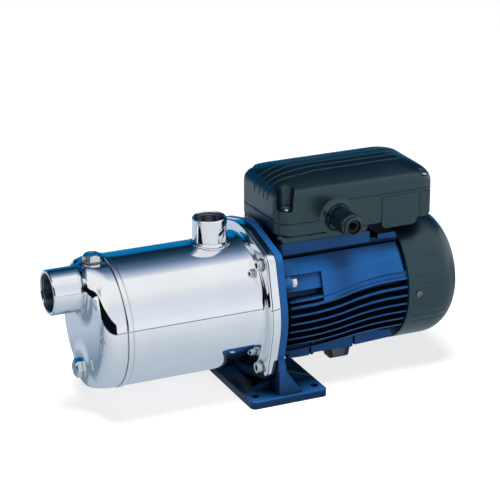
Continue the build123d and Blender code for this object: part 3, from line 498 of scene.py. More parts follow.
def settle(points, distance, rounds=14):
    """Moves points along the gradient of a signed distance until they lie on its surface."""
    step = 0.02
    for _ in range(rounds):
        slope = np.stack([(distance(points + np.eye(3)[axis] * step)
                           - distance(points - np.eye(3)[axis] * step)) / (2 * step)
                          for axis in range(3)], 1)
        size = np.maximum((slope ** 2).sum(1, keepdims=True), 0.25)
        points = points - 0.9 * distance(points)[:, None] * slope / size
    return points


def casing_end_cap():
    """Pressed end cap, from a fine polar grid laid onto its blended form."""
    knuckle = arc((CAP_FACE_X + CAP_KNUCKLE, CASING_R - CAP_KNUCKLE), CAP_KNUCKLE, pi, pi / 2, 34)
    face = [(CAP_FACE_X, radius)
            for radius in np.arange(0.4, CASING_R - CAP_KNUCKLE - 0.4, 0.75)]
    skirt = [(x, CASING_R)
             for x in np.arange(CAP_FACE_X + CAP_KNUCKLE + 0.8, SEAM_X - 0.2, 0.8)]
    grid = around(face + knuckle + skirt, CAP_COLUMNS, "X", (0, 0, AXIS_Z))
    sheet = settle(grid.reshape(-1, 3), cap_distance).reshape(grid.shape)
    sheet[-1, :, 0] = SEAM_X - 0.2
    lip = around([(SEAM_X, CASING_R - 0.5), (SEAM_X, CASING_R - SHEET)], CAP_COLUMNS, "X",
                 (0, 0, AXIS_Z))
    sheet = np.concatenate([sheet, lip])
    middle = (sheet + np.roll(sheet, -1, 1)) / 2
    beside = np.hypot(middle[:, :, 1], middle[:, :, 2] - SUCTION.z)
    keep = (beside > SUCTION_BORE + 1.2) | (middle[:, :, 0] > CAP_FACE_X + 3)
    piece = skin("end_cap", sheet, "polished_stainless", keep=keep)
    thicken(piece, 0.9 * SHEET)
    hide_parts("casing_end_cap")


def flow_arrow():
    """Raised outline of an upright arrow on the front edge of the end cap."""
    path = np.concatenate([np.linspace(corner, after, 9)[:-1]
                           for corner, after in zip(ARROW, ARROW[1:] + ARROW[:1])])
    ahead = np.roll(path, -1, 0) - np.roll(path, 1, 0)
    across = np.column_stack([ahead[:, 1], -ahead[:, 0]])
    across /= np.linalg.norm(across, axis=1, keepdims=True)
    rows = []
    for shift, proud in ARROW_SECTION:
        flat = path + across * shift
        start = np.column_stack([np.full(len(flat), CAP_FACE_X), ARROW_Y + flat[:, 0],
                                 ARROW_Z + flat[:, 1]])
        rows.append(settle(start, lambda at: cap_distance(at) - proud))
    skin("flow_arrow", rows, "polished_stainless")


# ---- sockets
def thread_wave(along, angles, pitch, crest):
    """Height of a right-hand V thread, from 0 to 1, with crests and roots of a given width."""
    phase = (along / pitch - angles[None, :] / (2 * pi)) % 1.0
    return np.clip((np.abs(2 * phase - 1) - crest) / (1 - 2 * crest), 0, 1)


def threaded(bore, start, end):
    """Scale for turned(): a thread on every part of the profile that lies on the bore."""
    def scale(along, radius, angles):
        height = THREAD_DEPTH * thread_wave(along, angles, THREAD_PITCH, THREAD_CREST)
        fade = np.clip(np.minimum(along - start, end - along) / THREAD_PITCH, 0, 1)
        return along, radius - np.where(np.isclose(radius, bore), height * fade, 0)
    return scale


def socket_profile(seat, rim, outer, bore, weld, collar=None):
    """Turned section of a threaded socket from its welded seat to its chamfered rim."""
    outside = [(seat, outer + weld), (seat + 0.4 * weld, outer + 0.35 * weld), (seat + weld, outer)]
    if collar:
        top, wide = collar
        outside = [(seat, wide), (top - 2, wide), (top, outer)]
    outside = rounded([(seat - 0.1, bore)] + outside
                      + [(rim - 1.2, outer), (rim, outer - 1.2), (rim, bore + 0.9),
                         (rim - 0.9, bore)],
                      [0, 0.3, 0.8, 0.8, 0.4, 0.4, 0.3, 0], 3)
    inside = [(along, bore) for along in np.arange(rim - 1.2, seat, -THREAD_PITCH / 8)]
    return outside, inside


def socket(name, section, bore, axis, centre, thread_from, thread_to):
    """Turned socket along an axis, with its threaded bore."""
    outside, inside = section
    piece = turned(f"{name}_socket_turned", outside, "polished_stainless", axis, centre,
                   columns=SOCKET_COLUMNS, closed=False, sharp=45)
    turned(f"{name}_thread", outside[-1:] + inside, "stainless_inner", axis, centre,
           columns=SOCKET_COLUMNS, closed=False, sharp=45,
           scale=threaded(bore, thread_from, thread_to))
    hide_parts(f"{name}_socket")


def suction_socket():
    """Socket along -X: the profile runs forwards from its seat on the end cap."""
    seat, rim = -BOSS_X, -low("suction_socket").x
    section = socket_profile(seat, rim, SUCTION_R, SUCTION_BORE, 2.2)
    socket("suction", section, SUCTION_BORE, "-X", (0, 0, SUCTION.z), seat + 2, rim - 1.5)


def discharge_socket():
    """Upright socket; its foot follows the barrel under the collar."""
    foot, rim = AXIS_Z + CASING_R - 5, high("discharge_socket").z
    section = socket_profile(foot, rim, DISCHARGE_OUTER, DISCHARGE_BORE, 0,
                             (COLLAR_TOP_Z, COLLAR_R))
    socket("discharge", section, DISCHARGE_BORE, "Z", (DISCHARGE.x, 0, 0), rim - 20, rim - 1.5)


def discharge_weld():
    """Weld bead where the collar meets the barrel: it dips on both sides of the crown."""
    bead = 1.3
    rows = []
    for turn in circle(10):
        radius = COLLAR_R + 0.4 + bead * cos(turn)
        x, y = radius * np.cos(circle(160)), radius * np.sin(circle(160))
        z = AXIS_Z + np.sqrt(CASING_R ** 2 - y ** 2) + bead * sin(turn)
        rows.append(np.column_stack([DISCHARGE.x + x, y, z]))
    skin("discharge_weld", rows, "polished_stainless", wrap_rows=True)


# ---- clamp ring, screws and washers
RING_X = low("clamp_ring").x
BRACKET_X = high("clamp_ring").x


def clamp_ring():
    """Ring against the flange of the barrel, with the same eared outline."""
    inner, front = 79.0, RING_X + 0.05
    profile = ring_outline([(front, inner), (front, FLANGE_R), (BRACKET_X, FLANGE_R),
                            (BRACKET_X, inner)], [0.3, 1.1, 1.1, 0.3])
    piece = turned("clamp_ring_cast", profile, "polished_stainless", "X", (0, 0, AXIS_Z),
                   columns=RIM_COLUMNS, scale=to_outline(inner), sharp=50)
    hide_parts("clamp_ring")


def on_ears(name, profile, **how):
    """One turned piece at each ear of the flange."""
    pieces = [turned(f"{name}_{number}", profile, "zinc_steel", "X",
                     (0, SCREW_PITCH_R * cos(angle), AXIS_Z + SCREW_PITCH_R * sin(angle)), **how)
              for number, angle in enumerate(EAR_ANGLES)]
    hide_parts(f"{name}s")


def hexagon(size, angles, turn=0.0):
    """Radius of a hexagon, of a given size across flats, in each direction."""
    return size / 2 / np.cos((angles + turn) % (pi / 3) - pi / 6)


def clamp_screws():
    """Cap screws: knurled round heads with a hexagon socket; key is the radius of its corners."""
    seat, top, end = high("clamp_washers").x - 1.2, low("clamp_screws").x, high("clamp_screws").x
    head, shank, key, deep = 6.5, 4.0, 3.4, 3.2

    def key_and_knurl(along, radius, angles):
        keyed = hexagon(2 * key * cos(pi / 6), angles)[None, :] * radius / key
        radius = np.where(radius <= key + NEAR, keyed, radius)
        wave = 0.12 * (np.cos(40 * angles) - 1)[None, :]
        on_side = (radius > head - 0.01) & (along > top + 1.0) & (along < seat - 0.5)
        return along, radius + np.where(on_side, wave, 0)

    profile = rounded([(end, TIP), (end, shank), (seat, shank), (seat, head), (seat - 0.6, head)],
                      [0, 0.5, 0, 0.3, 0], 4)[:-1]
    profile += [(x, head) for x in np.linspace(seat - 0.6, top + 1.1, 4)]
    profile += rounded([(top + 1.1, head), (top, head), (top, key + 0.5), (top + 0.5, key)],
                       [0, 0.9, 0, 0], 4)[1:]
    profile += [(top + deep, key), (top + deep, TIP)]
    on_ears("clamp_screw", profile, columns=120, closed=False, scale=key_and_knurl,
            sharp=35)


def clamp_washers():
    front, back = low("clamp_washers").x, high("clamp_washers").x
    on_ears("clamp_washer", ring_outline([(front, 4.3), (front, 7.2), (back, 7.2), (back, 4.3)],
                                         0.3, 3))


# ---- plugs
PLUG_HEX = 19.0
PLUG_HEAD = 7.5
PLUG_PITCH = 1.337
PLUG_R = 6.5
CHAMFER_R = 7.9                  # where the chamfer of the head meets its top
DISH_R, DISH_FLOOR_R, DISH_DEEP = 5.4, 4.6, 0.5


def plug(node, axis, centre, seat, bottom):
    """Hexagon plug with a chamfered, slightly dished head and a threaded shank."""
    corner, top = PLUG_HEX / 2 / cos(pi / 6), seat + PLUG_HEAD

    def shape(along, radius, angles):
        foot = 0.25 * np.clip((0.5 - (along - seat)) / 0.5, 0, 1)
        hexed = np.minimum(radius, hexagon(PLUG_HEX, angles)[None, :] - foot)
        cut = 0.8 * thread_wave(along, angles, PLUG_PITCH, 0.1)
        fade = np.clip((seat - 2.2 - along) / PLUG_PITCH, 0, 1)
        threaded_part = radius - np.where(np.isclose(radius, PLUG_R), cut * fade, 0)
        return along, np.where(along > seat - NEAR, hexed, threaded_part)

    profile = [(bottom, TIP), (bottom, PLUG_R - 0.8)]
    profile += [(along, PLUG_R) for along in np.arange(bottom + 0.8, seat - 1.0, PLUG_PITCH / 8)]
    profile += [(seat, PLUG_R), (seat, corner - 0.4), (seat + 0.4, corner)]
    profile += [(along, corner) for along in np.linspace(seat + 0.8, top - 2.2, 5)]
    profile += rounded([(top - 2.2, corner), (top - 1.5, corner), (top, CHAMFER_R), (top, DISH_R),
                        (top - DISH_DEEP, DISH_FLOOR_R), (top - DISH_DEEP, TIP)],
                       [0, 0.5, 0.4, 0.4, 0.4, 0], 4)[1:]
    piece = turned(f"{node}_threaded", profile, "nickel_plate", axis, centre, body=node,
                   columns=144, scale=shape, closed=False, sharp=30)
    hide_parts(node)


def plugs():
    fill_x = (low("fill_plug").x + high("fill_plug").x) / 2
    plug("fill_plug", "Z", (fill_x, 0, 0), high("fill_plug_seal").z, low("fill_plug").z)
    plug("drain_plug", "-X", (0, 0, DRAIN_Z), -low("drain_plug_seal").x, -high("drain_plug").x)


casing_barrel()
casing_end_cap()
flow_arrow()
suction_socket()
discharge_socket()
discharge_weld()
clamp_ring()
clamp_screws()
clamp_washers()
plugs()


# ---- terminal box
BOX_X0, BOX_X1 = low("terminal_box_base").x, high("terminal_box_base").x
BOX_HALF = 55.0
BOX_Z0 = 180.0
LID_TOP_Z = high("terminal_box_lid").z
BOX_CREST_Z = LID_TOP_Z - 0.7
BOX_CORNER = 20.0
LID_CROWN_R = 115.0
LID_EAVE_R = 8.85
LID_EAVE_HALF = 50.0
LID_HEEL_R = 22.0
LID_HEEL_TURN = radians(30)
LID_FRONT_R, LID_REAR_R = 50.0, 70.0
LID_SKIRT = 25.5
LID_RIDGES = (11.0, -1.5, -12.5, -22.8)
RIDGE_FOOT_Z = 214.5
RIDGE_BOW, RIDGE_BOW_RUN = 4.5, 40.0     # sideways bow of the ridges over the heel
RIDGE_RETURN, RIDGE_TAIL = 20.0, 24.0    # length back to their line, and their end before the rear
RIDGE_HALF, RIDGE_PROUD = 0.8, 0.9
RIDGE_TAPER = 5.0
LID_SCREWS = [(x, side * 46.5, z) for side in (-1, 1) for x, z in ((13.5, 210.0), (182, 228))]
LID_WELLS = ((11.5, 47.0, 9.4), (182, 49.3, 7.3))     # x, y and radius, front and rear
CORNER_GROWTH = 0.2              # of the plan corners, as the front of the lid draws in
CORNER_LIMIT = 0.62              # largest plan corner over half the width
SPLIT_LOW_Z, SPLIT_HIGH_Z = 195.0, 214.0
SPLIT_X0, SPLIT_X1 = 40.0, 76.0
PLINTH_Z0 = 171.4
PLINTH_X0, PLINTH_X1, PLINTH_HALF = 4.0, 115.0, 48.5
GASKET_T = 1.0


def chord(radius, drop):
    """Half the width of an arc at a level below its crest."""
    return sqrt(radius ** 2 - (radius - drop) ** 2)


def end_inset(drop, wide_r):
    """How far an end of the lid has drawn in at a level below the crest."""
    wide_fall = wide_r * (1 - cos(LID_HEEL_TURN))
    if drop < wide_fall:
        to_crest = wide_r * sin(LID_HEEL_TURN) - chord(wide_r, drop)
        return LID_HEEL_R * (1 - sin(LID_HEEL_TURN)) + to_crest
    return sag(LID_HEEL_R, max(LID_HEEL_R * cos(LID_HEEL_TURN) - (drop - wide_fall), 0))


def half_width(drop):
    """Half the width of the lid at a level below the crest."""
    crown = chord(LID_CROWN_R, drop)
    if crown < LID_EAVE_HALF:
        return crown
    rise = LID_EAVE_R * sqrt(1 - (LID_EAVE_HALF / LID_CROWN_R) ** 2)
    height = max(rise - (drop - sag(LID_CROWN_R, LID_EAVE_HALF)), 0)
    return BOX_HALF - sag(LID_EAVE_R, height)


def round_box(x_from, x_to, half, corner, along=56, across=18, turn=12):
    """Rounded rectangle from the middle of its front end, round one side to the rear and back;
    point k and point n-1-k mirror each other across the shaft and never meet."""
    corner = min(corner, 0.98 * half)
    flat, near, far = half - corner, x_from + corner, x_to - corner
    side = [(x_from, y) for y in np.linspace(0, flat, across, endpoint=False) + 0.01]
    side += arc((near, flat), corner, pi, pi / 2, turn + 1)[:-1]
    side += [(x, half) for x in np.linspace(near, far, along, endpoint=False)]
    side += arc((far, flat), corner, pi / 2, 0, turn + 1)[:-1]
    side += [(x_to, y) for y in np.linspace(flat, 0.01, across)]
    return np.array(side + [(x, -y) for x, y in reversed(side)])


def plan_corner(front, half, inset=0.0):
    """Corner radius of the plan, from how far the front has drawn in and the half width there."""
    return min(BOX_CORNER + CORNER_GROWTH * front - inset, CORNER_LIMIT * half)


def box_outline(drop, inset=0.0):
    front, rear = end_inset(drop, LID_FRONT_R), end_inset(drop, LID_REAR_R)
    half = half_width(drop) - inset
    return round_box(BOX_X0 + front + inset, BOX_X1 - rear - inset, half,
                     plan_corner(front, half, inset))


def split_height(x):
    """Height of the joint between box and lid: low in front, an S of two arcs, high behind."""
    share = np.clip((x - SPLIT_X0) / (SPLIT_X1 - SPLIT_X0), 0, 1)
    run, rise = (SPLIT_X1 - SPLIT_X0) / 2, (SPLIT_HIGH_Z - SPLIT_LOW_Z) / 2
    bend = (run ** 2 + rise ** 2) / (2 * rise)
    lift = sag(bend, np.minimum(share, 1 - share) * 2 * run)
    return np.where(share < 0.5, SPLIT_LOW_Z + lift, SPLIT_HIGH_Z - lift)


def level(outline, height):
    """Outline laid at one height, or at a height for each point."""
    return np.column_stack([outline, np.broadcast_to(height, (len(outline),))])


def closed_stack(name, rows, slot_name):
    """Solid through a stack of mirrored outlines, its two ends closed by strips across."""
    grid = np.array(rows)
    points, faces = lattice(grid)
    count = grid.shape[1]
    for row, flip in ((0, True), (len(rows) - 1, False)):
        base = row * count
        for k in range(count // 2 - 1):
            strip = (base + k, base + k + 1, base + count - 2 - k, base + count - 1 - k)
            faces.append(strip[::-1] if flip else strip)
    return new_piece(name, points, faces, slot_name)


def carve(piece, *cutters):
    """Cuts other meshes out of a piece and removes them."""
    for cutter in cutters:
        cut = piece.modifiers.new("cut", "BOOLEAN")
        cut.operation = "DIFFERENCE"
        cut.solver = "EXACT"
        cut.object = cutter
    bpy.context.view_layer.update()
    state = bpy.context.evaluated_depsgraph_get()
    cut_mesh = bpy.data.meshes.new_from_object(piece.evaluated_get(state))
    piece.modifiers.clear()
    piece.data = cut_mesh
    for cutter in cutters:
        bpy.data.objects.remove(cutter)
    cut_mesh.set_sharp_from_angle(angle=radians(38))


def terminal_box_lid():
    """Lid: crowned top drawn in at both ends, with scooped wells for its four screws."""
    drops = LID_SKIRT * np.linspace(0.02, 1, 44) ** 2
    rows = [level(box_outline(drop), BOX_CREST_Z - drop) for drop in drops]
    skirt = box_outline(LID_SKIRT)
    top, foot = BOX_CREST_Z - LID_SKIRT, split_height(skirt[:, 0]) + GASKET_T
    for share in np.linspace(0.08, 1, 9):
        rows.append(level(skirt, top + (foot + 0.35 - top) * share))
    rows.append(level(box_outline(LID_SKIRT, 0.12), foot + 0.1))
    rows.append(level(box_outline(LID_SKIRT, 0.4), foot))
    lid = closed_stack("lid_moulded", rows, "black_plastic")
    wells = []
    for number, (x, y, z) in enumerate(LID_SCREWS):
        well_x, well_y, well_r = LID_WELLS[number % 2]
        floor_z = z - 0.5
        shape = rounded([(floor_z, TIP), (floor_z, well_r), (z + 40, well_r + 1),
                         (z + 40, TIP)], [0, 2.5, 0, 0], 6)
        wells.append(turned(f"well_{number}", shape, "black_plastic", "Z",
                            (well_x, well_y if y > 0 else -well_y, 0), columns=80, closed=False))
    carve(lid, *wells)
    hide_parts("terminal_box_lid")


def lid_ridges():
    """Four thin ridges: up the front end, over the heel and along the crown."""
    for number, line in enumerate(LID_RIDGES):
        path = [(BOX_X0, line, BOX_CREST_Z - drop)
                for drop in np.linspace(BOX_CREST_Z - RIDGE_FOOT_Z, LID_SKIRT, 8)]
        for drop in np.linspace(LID_SKIRT, sag(LID_CROWN_R, line) + 0.05, 44)[1:]:
            front = end_inset(drop, LID_FRONT_R)
            y = line - RIDGE_BOW * sin(pi * min(front / RIDGE_BOW_RUN, 1))
            corner = plan_corner(front, half_width(drop))
            into = max(abs(y) - (half_width(drop) - corner), 0)
            path.append((BOX_X0 + front + sag(corner, min(into, corner)), y, BOX_CREST_Z - drop))
        start_x, start_y, _ = path[-1]
        for x in np.linspace(start_x, BOX_X1 - RIDGE_TAIL + 0.1 * line, 50)[1:]:
            y = start_y + (line - start_y) * min((x - start_x) / RIDGE_RETURN, 1)
            beyond = max(end_inset(0, LID_REAR_R) - (BOX_X1 - x), 0)
            path.append((x, y, BOX_CREST_Z - max(sag(LID_CROWN_R, y), sag(LID_REAR_R, beyond))))
        path = np.array(path)
        run = np.concatenate([[0], np.cumsum(np.linalg.norm(np.diff(path, axis=0), axis=1))])
        slope = np.gradient(path, run, axis=0)
        size = np.clip(np.minimum(run, run[-1] - run) / RIDGE_TAPER, 0.02, 1) ** 0.5
        rows = []
        for point, along, share in zip(path, slope, size):
            out = Vector((-along[2], 0, along[0])).normalized()
            ring = []
            for turn in circle(12):
                place = Vector(point) + out * (RIDGE_PROUD * share * sin(turn) - 0.1)
                place.y += RIDGE_HALF * share * cos(turn)
                place.z = min(place.z, LID_TOP_Z)
                ring.append(tuple(place))
            rows.append(ring)
        skin(f"lid_ridge_{number}", rows, "black_plastic")


def terminal_box_base():
    """Box under the joint, with rounded lower edges."""
    outline = box_outline(LID_SKIRT)
    top, edge = split_height(outline[:, 0]), 3.0
    rows = [level(box_outline(LID_SKIRT, 0.4), top), level(box_outline(LID_SKIRT, 0.1), top - 0.1)]
    rows += [level(outline, top + (BOX_Z0 + edge - top) * share)
             for share in np.linspace(0.02, 1, 12)]
    rows += [level(box_outline(LID_SKIRT, inset), z)
             for inset, z in arc((edge, BOX_Z0 + edge), edge, pi + pi / 12, 1.5 * pi, 6)]
    base = closed_stack("box_base_moulded", rows, "black_plastic")
    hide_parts("terminal_box_base")
    plan = round_box(PLINTH_X0, PLINTH_X1, PLINTH_HALF, 6)
    inner = round_box(PLINTH_X0 + 0.3, PLINTH_X1 - 0.3, PLINTH_HALF - 0.3, 6)
    closed_stack("box_plinth", [level(plan, BOX_Z0 + 1), level(plan, PLINTH_Z0 + 0.3),
                                level(inner, PLINTH_Z0)], "black_plastic")


def panel_outline(x_from, x_to, z_from, z_to, corner, inset):
    """Upright rectangle with rounded lower corners, as (x, z)."""
    x_from, x_to, z_from, z_to = x_from + inset, x_to - inset, z_from + inset, z_to - inset
    corner = max(corner - inset, 0.2)
    return ([(x_from, z_to)]
            + arc((x_from + corner, z_from + corner), corner, pi, 1.5 * pi, 8)
            + arc((x_to - corner, z_from + corner), corner, 1.5 * pi, 2 * pi, 8)
            + [(x_to, z_to)])


def side_panels():
    """Two raised fields on the side wall of the box: a wide one and a narrow one behind it."""
    edge = 0.45
    for name, limits, corner, proud in (("wide_panel", (126, 170, 174.5, 211.5), 6, 1.0),
                                        ("narrow_panel", (173.5, 186, 183.5, 211), 2.5, 0.6)):
        rows = []
        for inset, depth in arc((edge, proud - edge), edge, pi, pi / 2, 5):
            rows.append([(x, -BOX_HALF - depth, z)
                         for x, z in panel_outline(*limits, corner, inset)])
        rows.insert(0, [(x, -BOX_HALF + 1.5, z) for x, _, z in rows[0]])
        points, faces = lattice(np.array(rows))
        last = (len(rows) - 1) * len(rows[0])
        faces.append(tuple(range(last, last + len(rows[0]))))
        new_piece(name, points, faces, "black_plastic", sharp=50)


def lid_screws():
    """Pan-head screws with a cross recess, down in their wells."""
    def cross(along, radius, angles):
        arm = np.clip((np.abs(np.cos(2 * angles)) - 0.86) / 0.1, 0, 1)[None, :]
        inner = np.clip((2.3 - radius) / 0.6, 0, 1)
        return along - np.where(along > 1.2, 1.0 * arm * inner, 0), radius

    profile = [(-8, TIP), (-8, 1.7), (0, 1.7), (0, 3.6), (0.9, 3.6), (1.3, 3.4)]
    profile += [(2.4 - 0.9 * (r / 3.0) ** 2, r) for r in np.linspace(3.0, TIP, 14)]
    pieces = [turned(f"lid_screw_{number}", profile, "zinc_steel", "Z", place, columns=72,
                     closed=False, scale=cross, sharp=40)
              for number, place in enumerate(LID_SCREWS)]
    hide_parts("lid_screws")


# ---- cable gland
GLAND = Vector(MOUNTS["cable_entry"]["pos_m"]) / MM
NUT_END_Y = -low("gland_nut").y
NUT_START_Y = -high("gland_nut").y


def gland_turned(name, profile, slot_name="black_plastic", scale=None):
    """Turned piece of the gland; the profile runs outwards from the box wall."""
    return turned(name, profile, slot_name, "-Y", (GLAND.x, 0, GLAND.z), columns=144,
                  scale=scale, sharp=42)


def gland_boss():
    """Round boss drawn out of the wall of the box, with a stepped rim."""
    foot, rim, step = BOX_HALF - 1, BOX_HALF + 7.2, BOX_HALF + 6.6
    sweep = arc((BOX_HALF + 6.4, 21.9), (6.6, 7.5), pi, 1.5 * pi, 8)
    edge = rounded([sweep[-1], (rim, 14.3), (rim, 13.2), (step, 13.0), (step, 8)],
                   [0, 0.9, 0.3, 0.2, 0], 4)
    gland_turned("gland_boss", [(foot, 8), (foot, 21.9)] + sweep + edge[1:])


def hexed(size, corner):
    """Scale for turned(): a hexagon with its corners turned down to a radius."""
    def scale(along, radius, angles):
        return along, np.minimum(radius, np.minimum(hexagon(size, angles, pi / 6)[None, :], corner))
    return scale


def gland_pieces():
    """Hexagon body, domed hexagon nut and the rubber seal in its mouth."""
    foot, end, neck_end = BOX_HALF + 6.7, BOX_HALF + 11, NUT_START_Y + 1
    body = ring_outline([(foot, 7), (foot, 15.5), (end, 15.5), (end, 11.4), (neck_end, 11.4),
                         (neck_end, 7)], [0, 1.0, 1.0, 0.5, 0.3, 0])
    first = gland_turned("gland_body_hex", body, scale=hexed(27, 15.0))
    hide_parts("gland_body")
    mouth, wide, dome = 8.2, 13.5, NUT_END_Y - 12
    profile = [(NUT_START_Y, 10), (NUT_START_Y, wide - 0.8), (NUT_START_Y + 0.8, wide)]
    profile += [(along, wide) for along in np.linspace(NUT_START_Y + 1.5, dome, 10)]
    profile += arc((dome, wide - 2.6), (8, 2.6), pi / 2 - 0.15, 0, 9)
    profile += rounded([(dome + 8, wide - 2.6), (NUT_END_Y - 1.5, wide - 2.9),
                        (NUT_END_Y, wide - 4.2), (NUT_END_Y, mouth), (NUT_END_Y - 9, mouth)],
                       [0, 1.2, 0.8, 0.6, 0], 4)[1:]
    nut = gland_turned("gland_nut_domed", profile + [(NUT_END_Y - 9, 10)], scale=hexed(25, 13.4))
    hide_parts("gland_nut")
    entry, back = MOUNTS["cable_entry"]["dims"]["r_mm"], NUT_END_Y - 14
    seal = ring_outline([(back, entry), (back, mouth - 0.1), (NUT_END_Y - 3.2, mouth - 0.1),
                         (NUT_END_Y - 2.6, entry)], [0, 0, 1.0, 1.0])
    rubber = gland_turned("gland_seal_ring", seal, "black_rubber")
    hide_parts("gland_seal")


# ---- fan cover
COVER_X, COVER_END_X = low("fan_cover").x - 1.5, high("fan_cover").x
COVER_R = high("fan_cover").y
COVER_ROUND = 35.0
COVER_T = 2.2
COVER_SCREW_X = 165.8
GROOVE_X0, GROOVE_X1 = 161.0, 205.0
GROOVE_HEIGHTS = [19.5 - 9.2 * row for row in range(7)]      # from the shaft axis
GROOVE_HALF, GROOVE_DEPTH = 0.8, 0.5
GRILLE_R = 39.0
GRILLE_SLOTS = ((10, 14), (18, 22), (26, 30), (34, 38))
SPOKES, SPOKE_HALF = 8, 2.0


def drum_angles():
    """Directions round the drum: even ones, and five across every groove."""
    grooves = []
    for height in GROOVE_HEIGHTS:
        angle = float(np.arcsin(height / COVER_R))
        for shift in (-0.9, -0.45, 0.0, 0.45, 0.9):
            grooves += [angle + shift / COVER_R, pi - angle + shift / COVER_R]
    grooves = np.array(grooves) % (2 * pi)
    even = circle(180)
    even = even[np.min(np.abs(even[:, None] - grooves[None, :]), 1) > 0.014]
    return np.sort(np.concatenate([even, grooves]))


def fan_cover():
    """Moulded cover: a drum with seven fine grooves on each side, rounding into its flat end."""
    angles, drum_end = drum_angles(), COVER_END_X - COVER_ROUND
    xs = np.sort(np.concatenate([[COVER_X + 0.6, GROOVE_X0, GROOVE_X0 + 1],
                                 np.linspace(COVER_X + 1.2, drum_end, 26)]))
    profile = [(COVER_X, COVER_R - 0.5), (COVER_X + 0.15, COVER_R - 0.15)]
    profile += [(x, COVER_R) for x in xs]
    profile += arc((drum_end, COVER_R - COVER_ROUND), COVER_ROUND, pi / 2, 0, 30)[1:]
    off = np.abs(COVER_R * np.sin(angles)[:, None] - np.array(GROOVE_HEIGHTS)[None, :]).min(1)
    on_side = np.abs(np.cos(angles)) > 0.75
    groove = np.where(on_side, GROOVE_DEPTH * np.clip(1 - off / GROOVE_HALF, 0, 1), 0)
    rows = []
    for x, radius in profile:
        cut = radius - groove * np.clip(x - GROOVE_X0, 0, 1) * np.clip((GROOVE_X1 - x) / 2, 0, 1)
        rows.append(np.column_stack([np.full(len(angles), x), cut * np.cos(angles),
                                     AXIS_Z + cut * np.sin(angles)]))
    drum = skin("cover_drum", rows, "black_plastic", sharp=50)
    thicken(drum, COVER_T)
    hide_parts("fan_cover")


def cover_grille():
    """Slotted rear end: rings between eight spokes of even width."""
    columns = 12
    edges = [0.6] + [edge for slot in GRILLE_SLOTS for edge in slot] + [GRILLE_R]
    rings = [ring for inner, outer in zip(edges, edges[1:])
             for ring in (inner, inner + 0.4, outer - 0.4)] + [GRILLE_R]
    x = COVER_END_X - COVER_T / 2 - 0.02
    grid = []
    for radius in rings:
        lean = float(np.arcsin(min(SPOKE_HALF / max(radius, 4.5), 0.4)))
        row = [angle for start in circle(SPOKES)
               for angle in np.linspace(start + lean, start + 2 * pi / SPOKES - lean, columns)]
        grid.append([(x, radius * cos(a), AXIS_Z + radius * sin(a)) for a in row])
    keep = []
    for start, end in zip(rings, rings[1:]):
        in_slot = any(inner < (start + end) / 2 < outer for inner, outer in GRILLE_SLOTS)
        keep.append([not in_slot or column % columns == columns - 1
                     for column in range(SPOKES * columns)])
    grille = skin("cover_grille", grid, "black_plastic", keep=np.array(keep))
    thicken(grille, COVER_T, 0.0)
    soft_edges(grille, 0.35, 2, 30)


def cover_screws():
    """Slotted round-head screws on both sides of the cover."""
    def slotted(along, radius, angles):
        across = np.abs(radius * np.cos(angles + 0.5)[None, :])
        deep = np.clip((0.75 - across) / 0.25, 0, 1)
        return along - np.where(along > COVER_R + 0.9, 0.9 * deep, 0), radius

    profile = [(COVER_R - 6, TIP), (COVER_R - 6, 1.7), (COVER_R - 0.4, 1.7),
               (COVER_R - 0.4, 3.8), (COVER_R + 0.8, 3.8)]
    profile += [(COVER_R + 2.2 - 0.9 * (r / 3.6) ** 2, r) for r in np.linspace(3.6, TIP, 22)]
    for side, axis in (("left", "-Y"), ("right", "Y")):
        piece = turned(f"cover_screw_{side}", profile, "blackened_steel", axis,
                       (COVER_SCREW_X, 0, AXIS_Z), columns=96, scale=slotted, closed=False, sharp=40)
        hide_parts("fan_cover_screws")


# ---- castings
def soften(node, width):
    """Rounds the sharp edges of a carried-over casting, without touching its mesh."""
    piece = frame["nodes"][node]
    weld = piece.modifiers.new("weld", "WELD")
    weld.merge_threshold = 0.01 * MM
    soft_edges(piece, width, 3, 32)
    shade = piece.modifiers.new("shade", "WEIGHTED_NORMAL")
    shade.keep_sharp = True


terminal_box_lid()
lid_ridges()
terminal_box_base()
side_panels()
lid_screws()
gland_boss()
gland_pieces()
fan_cover()
cover_grille()
cover_screws()
for node, width in (("motor_bracket", 0.9), ("motor_frame", 0.5), ("support_pad", 0.8),
                    ("support_bracket", 0.3), ("tie_bolts", 0.4)):
    soften(node, width)


# ---- studio and camera
CAMERA_PLACE = (-0.88668, -1.92793, 0.95671)
CAMERA_TARGET = (-0.00897, 0.0, 0.1514)
SENSOR = 36.0
FOCAL_SHARE = 4.08416            # focal length over picture width
FAR_CLIP = 20.0
WORLD_LIGHT = 0.03
FLOOR_COLOUR = (0.32, 0.33, 0.34, 1.0)
FLOOR_LIFT = 0.74                # extra brightness of the floor where it is seen directly
FLOOR_HALF = 6.0
LAMP_TARGET = (0, 0, 0.1)
TENT_R = 1.6
CARD_HALF = 3.0


def link(thing):
    bpy.context.scene.collection.objects.link(thing)
    return thing


def aimed(name, data, place, target):
    """Camera or lamp at a place, turned towards a target."""
    thing = link(bpy.data.objects.new(name, data))
    thing.location = place
    thing.rotation_euler = (Vector(target) - Vector(place)).to_track_quat("-Z", "Y").to_euler()
    return thing


def camera():
    """Camera at the viewing angle, with its long lens."""
    lens = bpy.data.cameras.new("camera")
    lens.sensor_width = SENSOR
    lens.lens = FOCAL_SHARE * SENSOR
    lens.clip_end = FAR_CLIP
    bpy.context.scene.camera = aimed("camera", lens, CAMERA_PLACE, CAMERA_TARGET)


def soft_lamp(name, place, width, height, watts):
    """Rectangular soft light that doesn't show in the metal."""
    light = bpy.data.lights.new(name, "AREA")
    light.shape = "RECTANGLE"
    light.size, light.size_y = width, height
    light.energy = watts
    aimed(name, light, place, LAMP_TARGET).visible_glossy = False


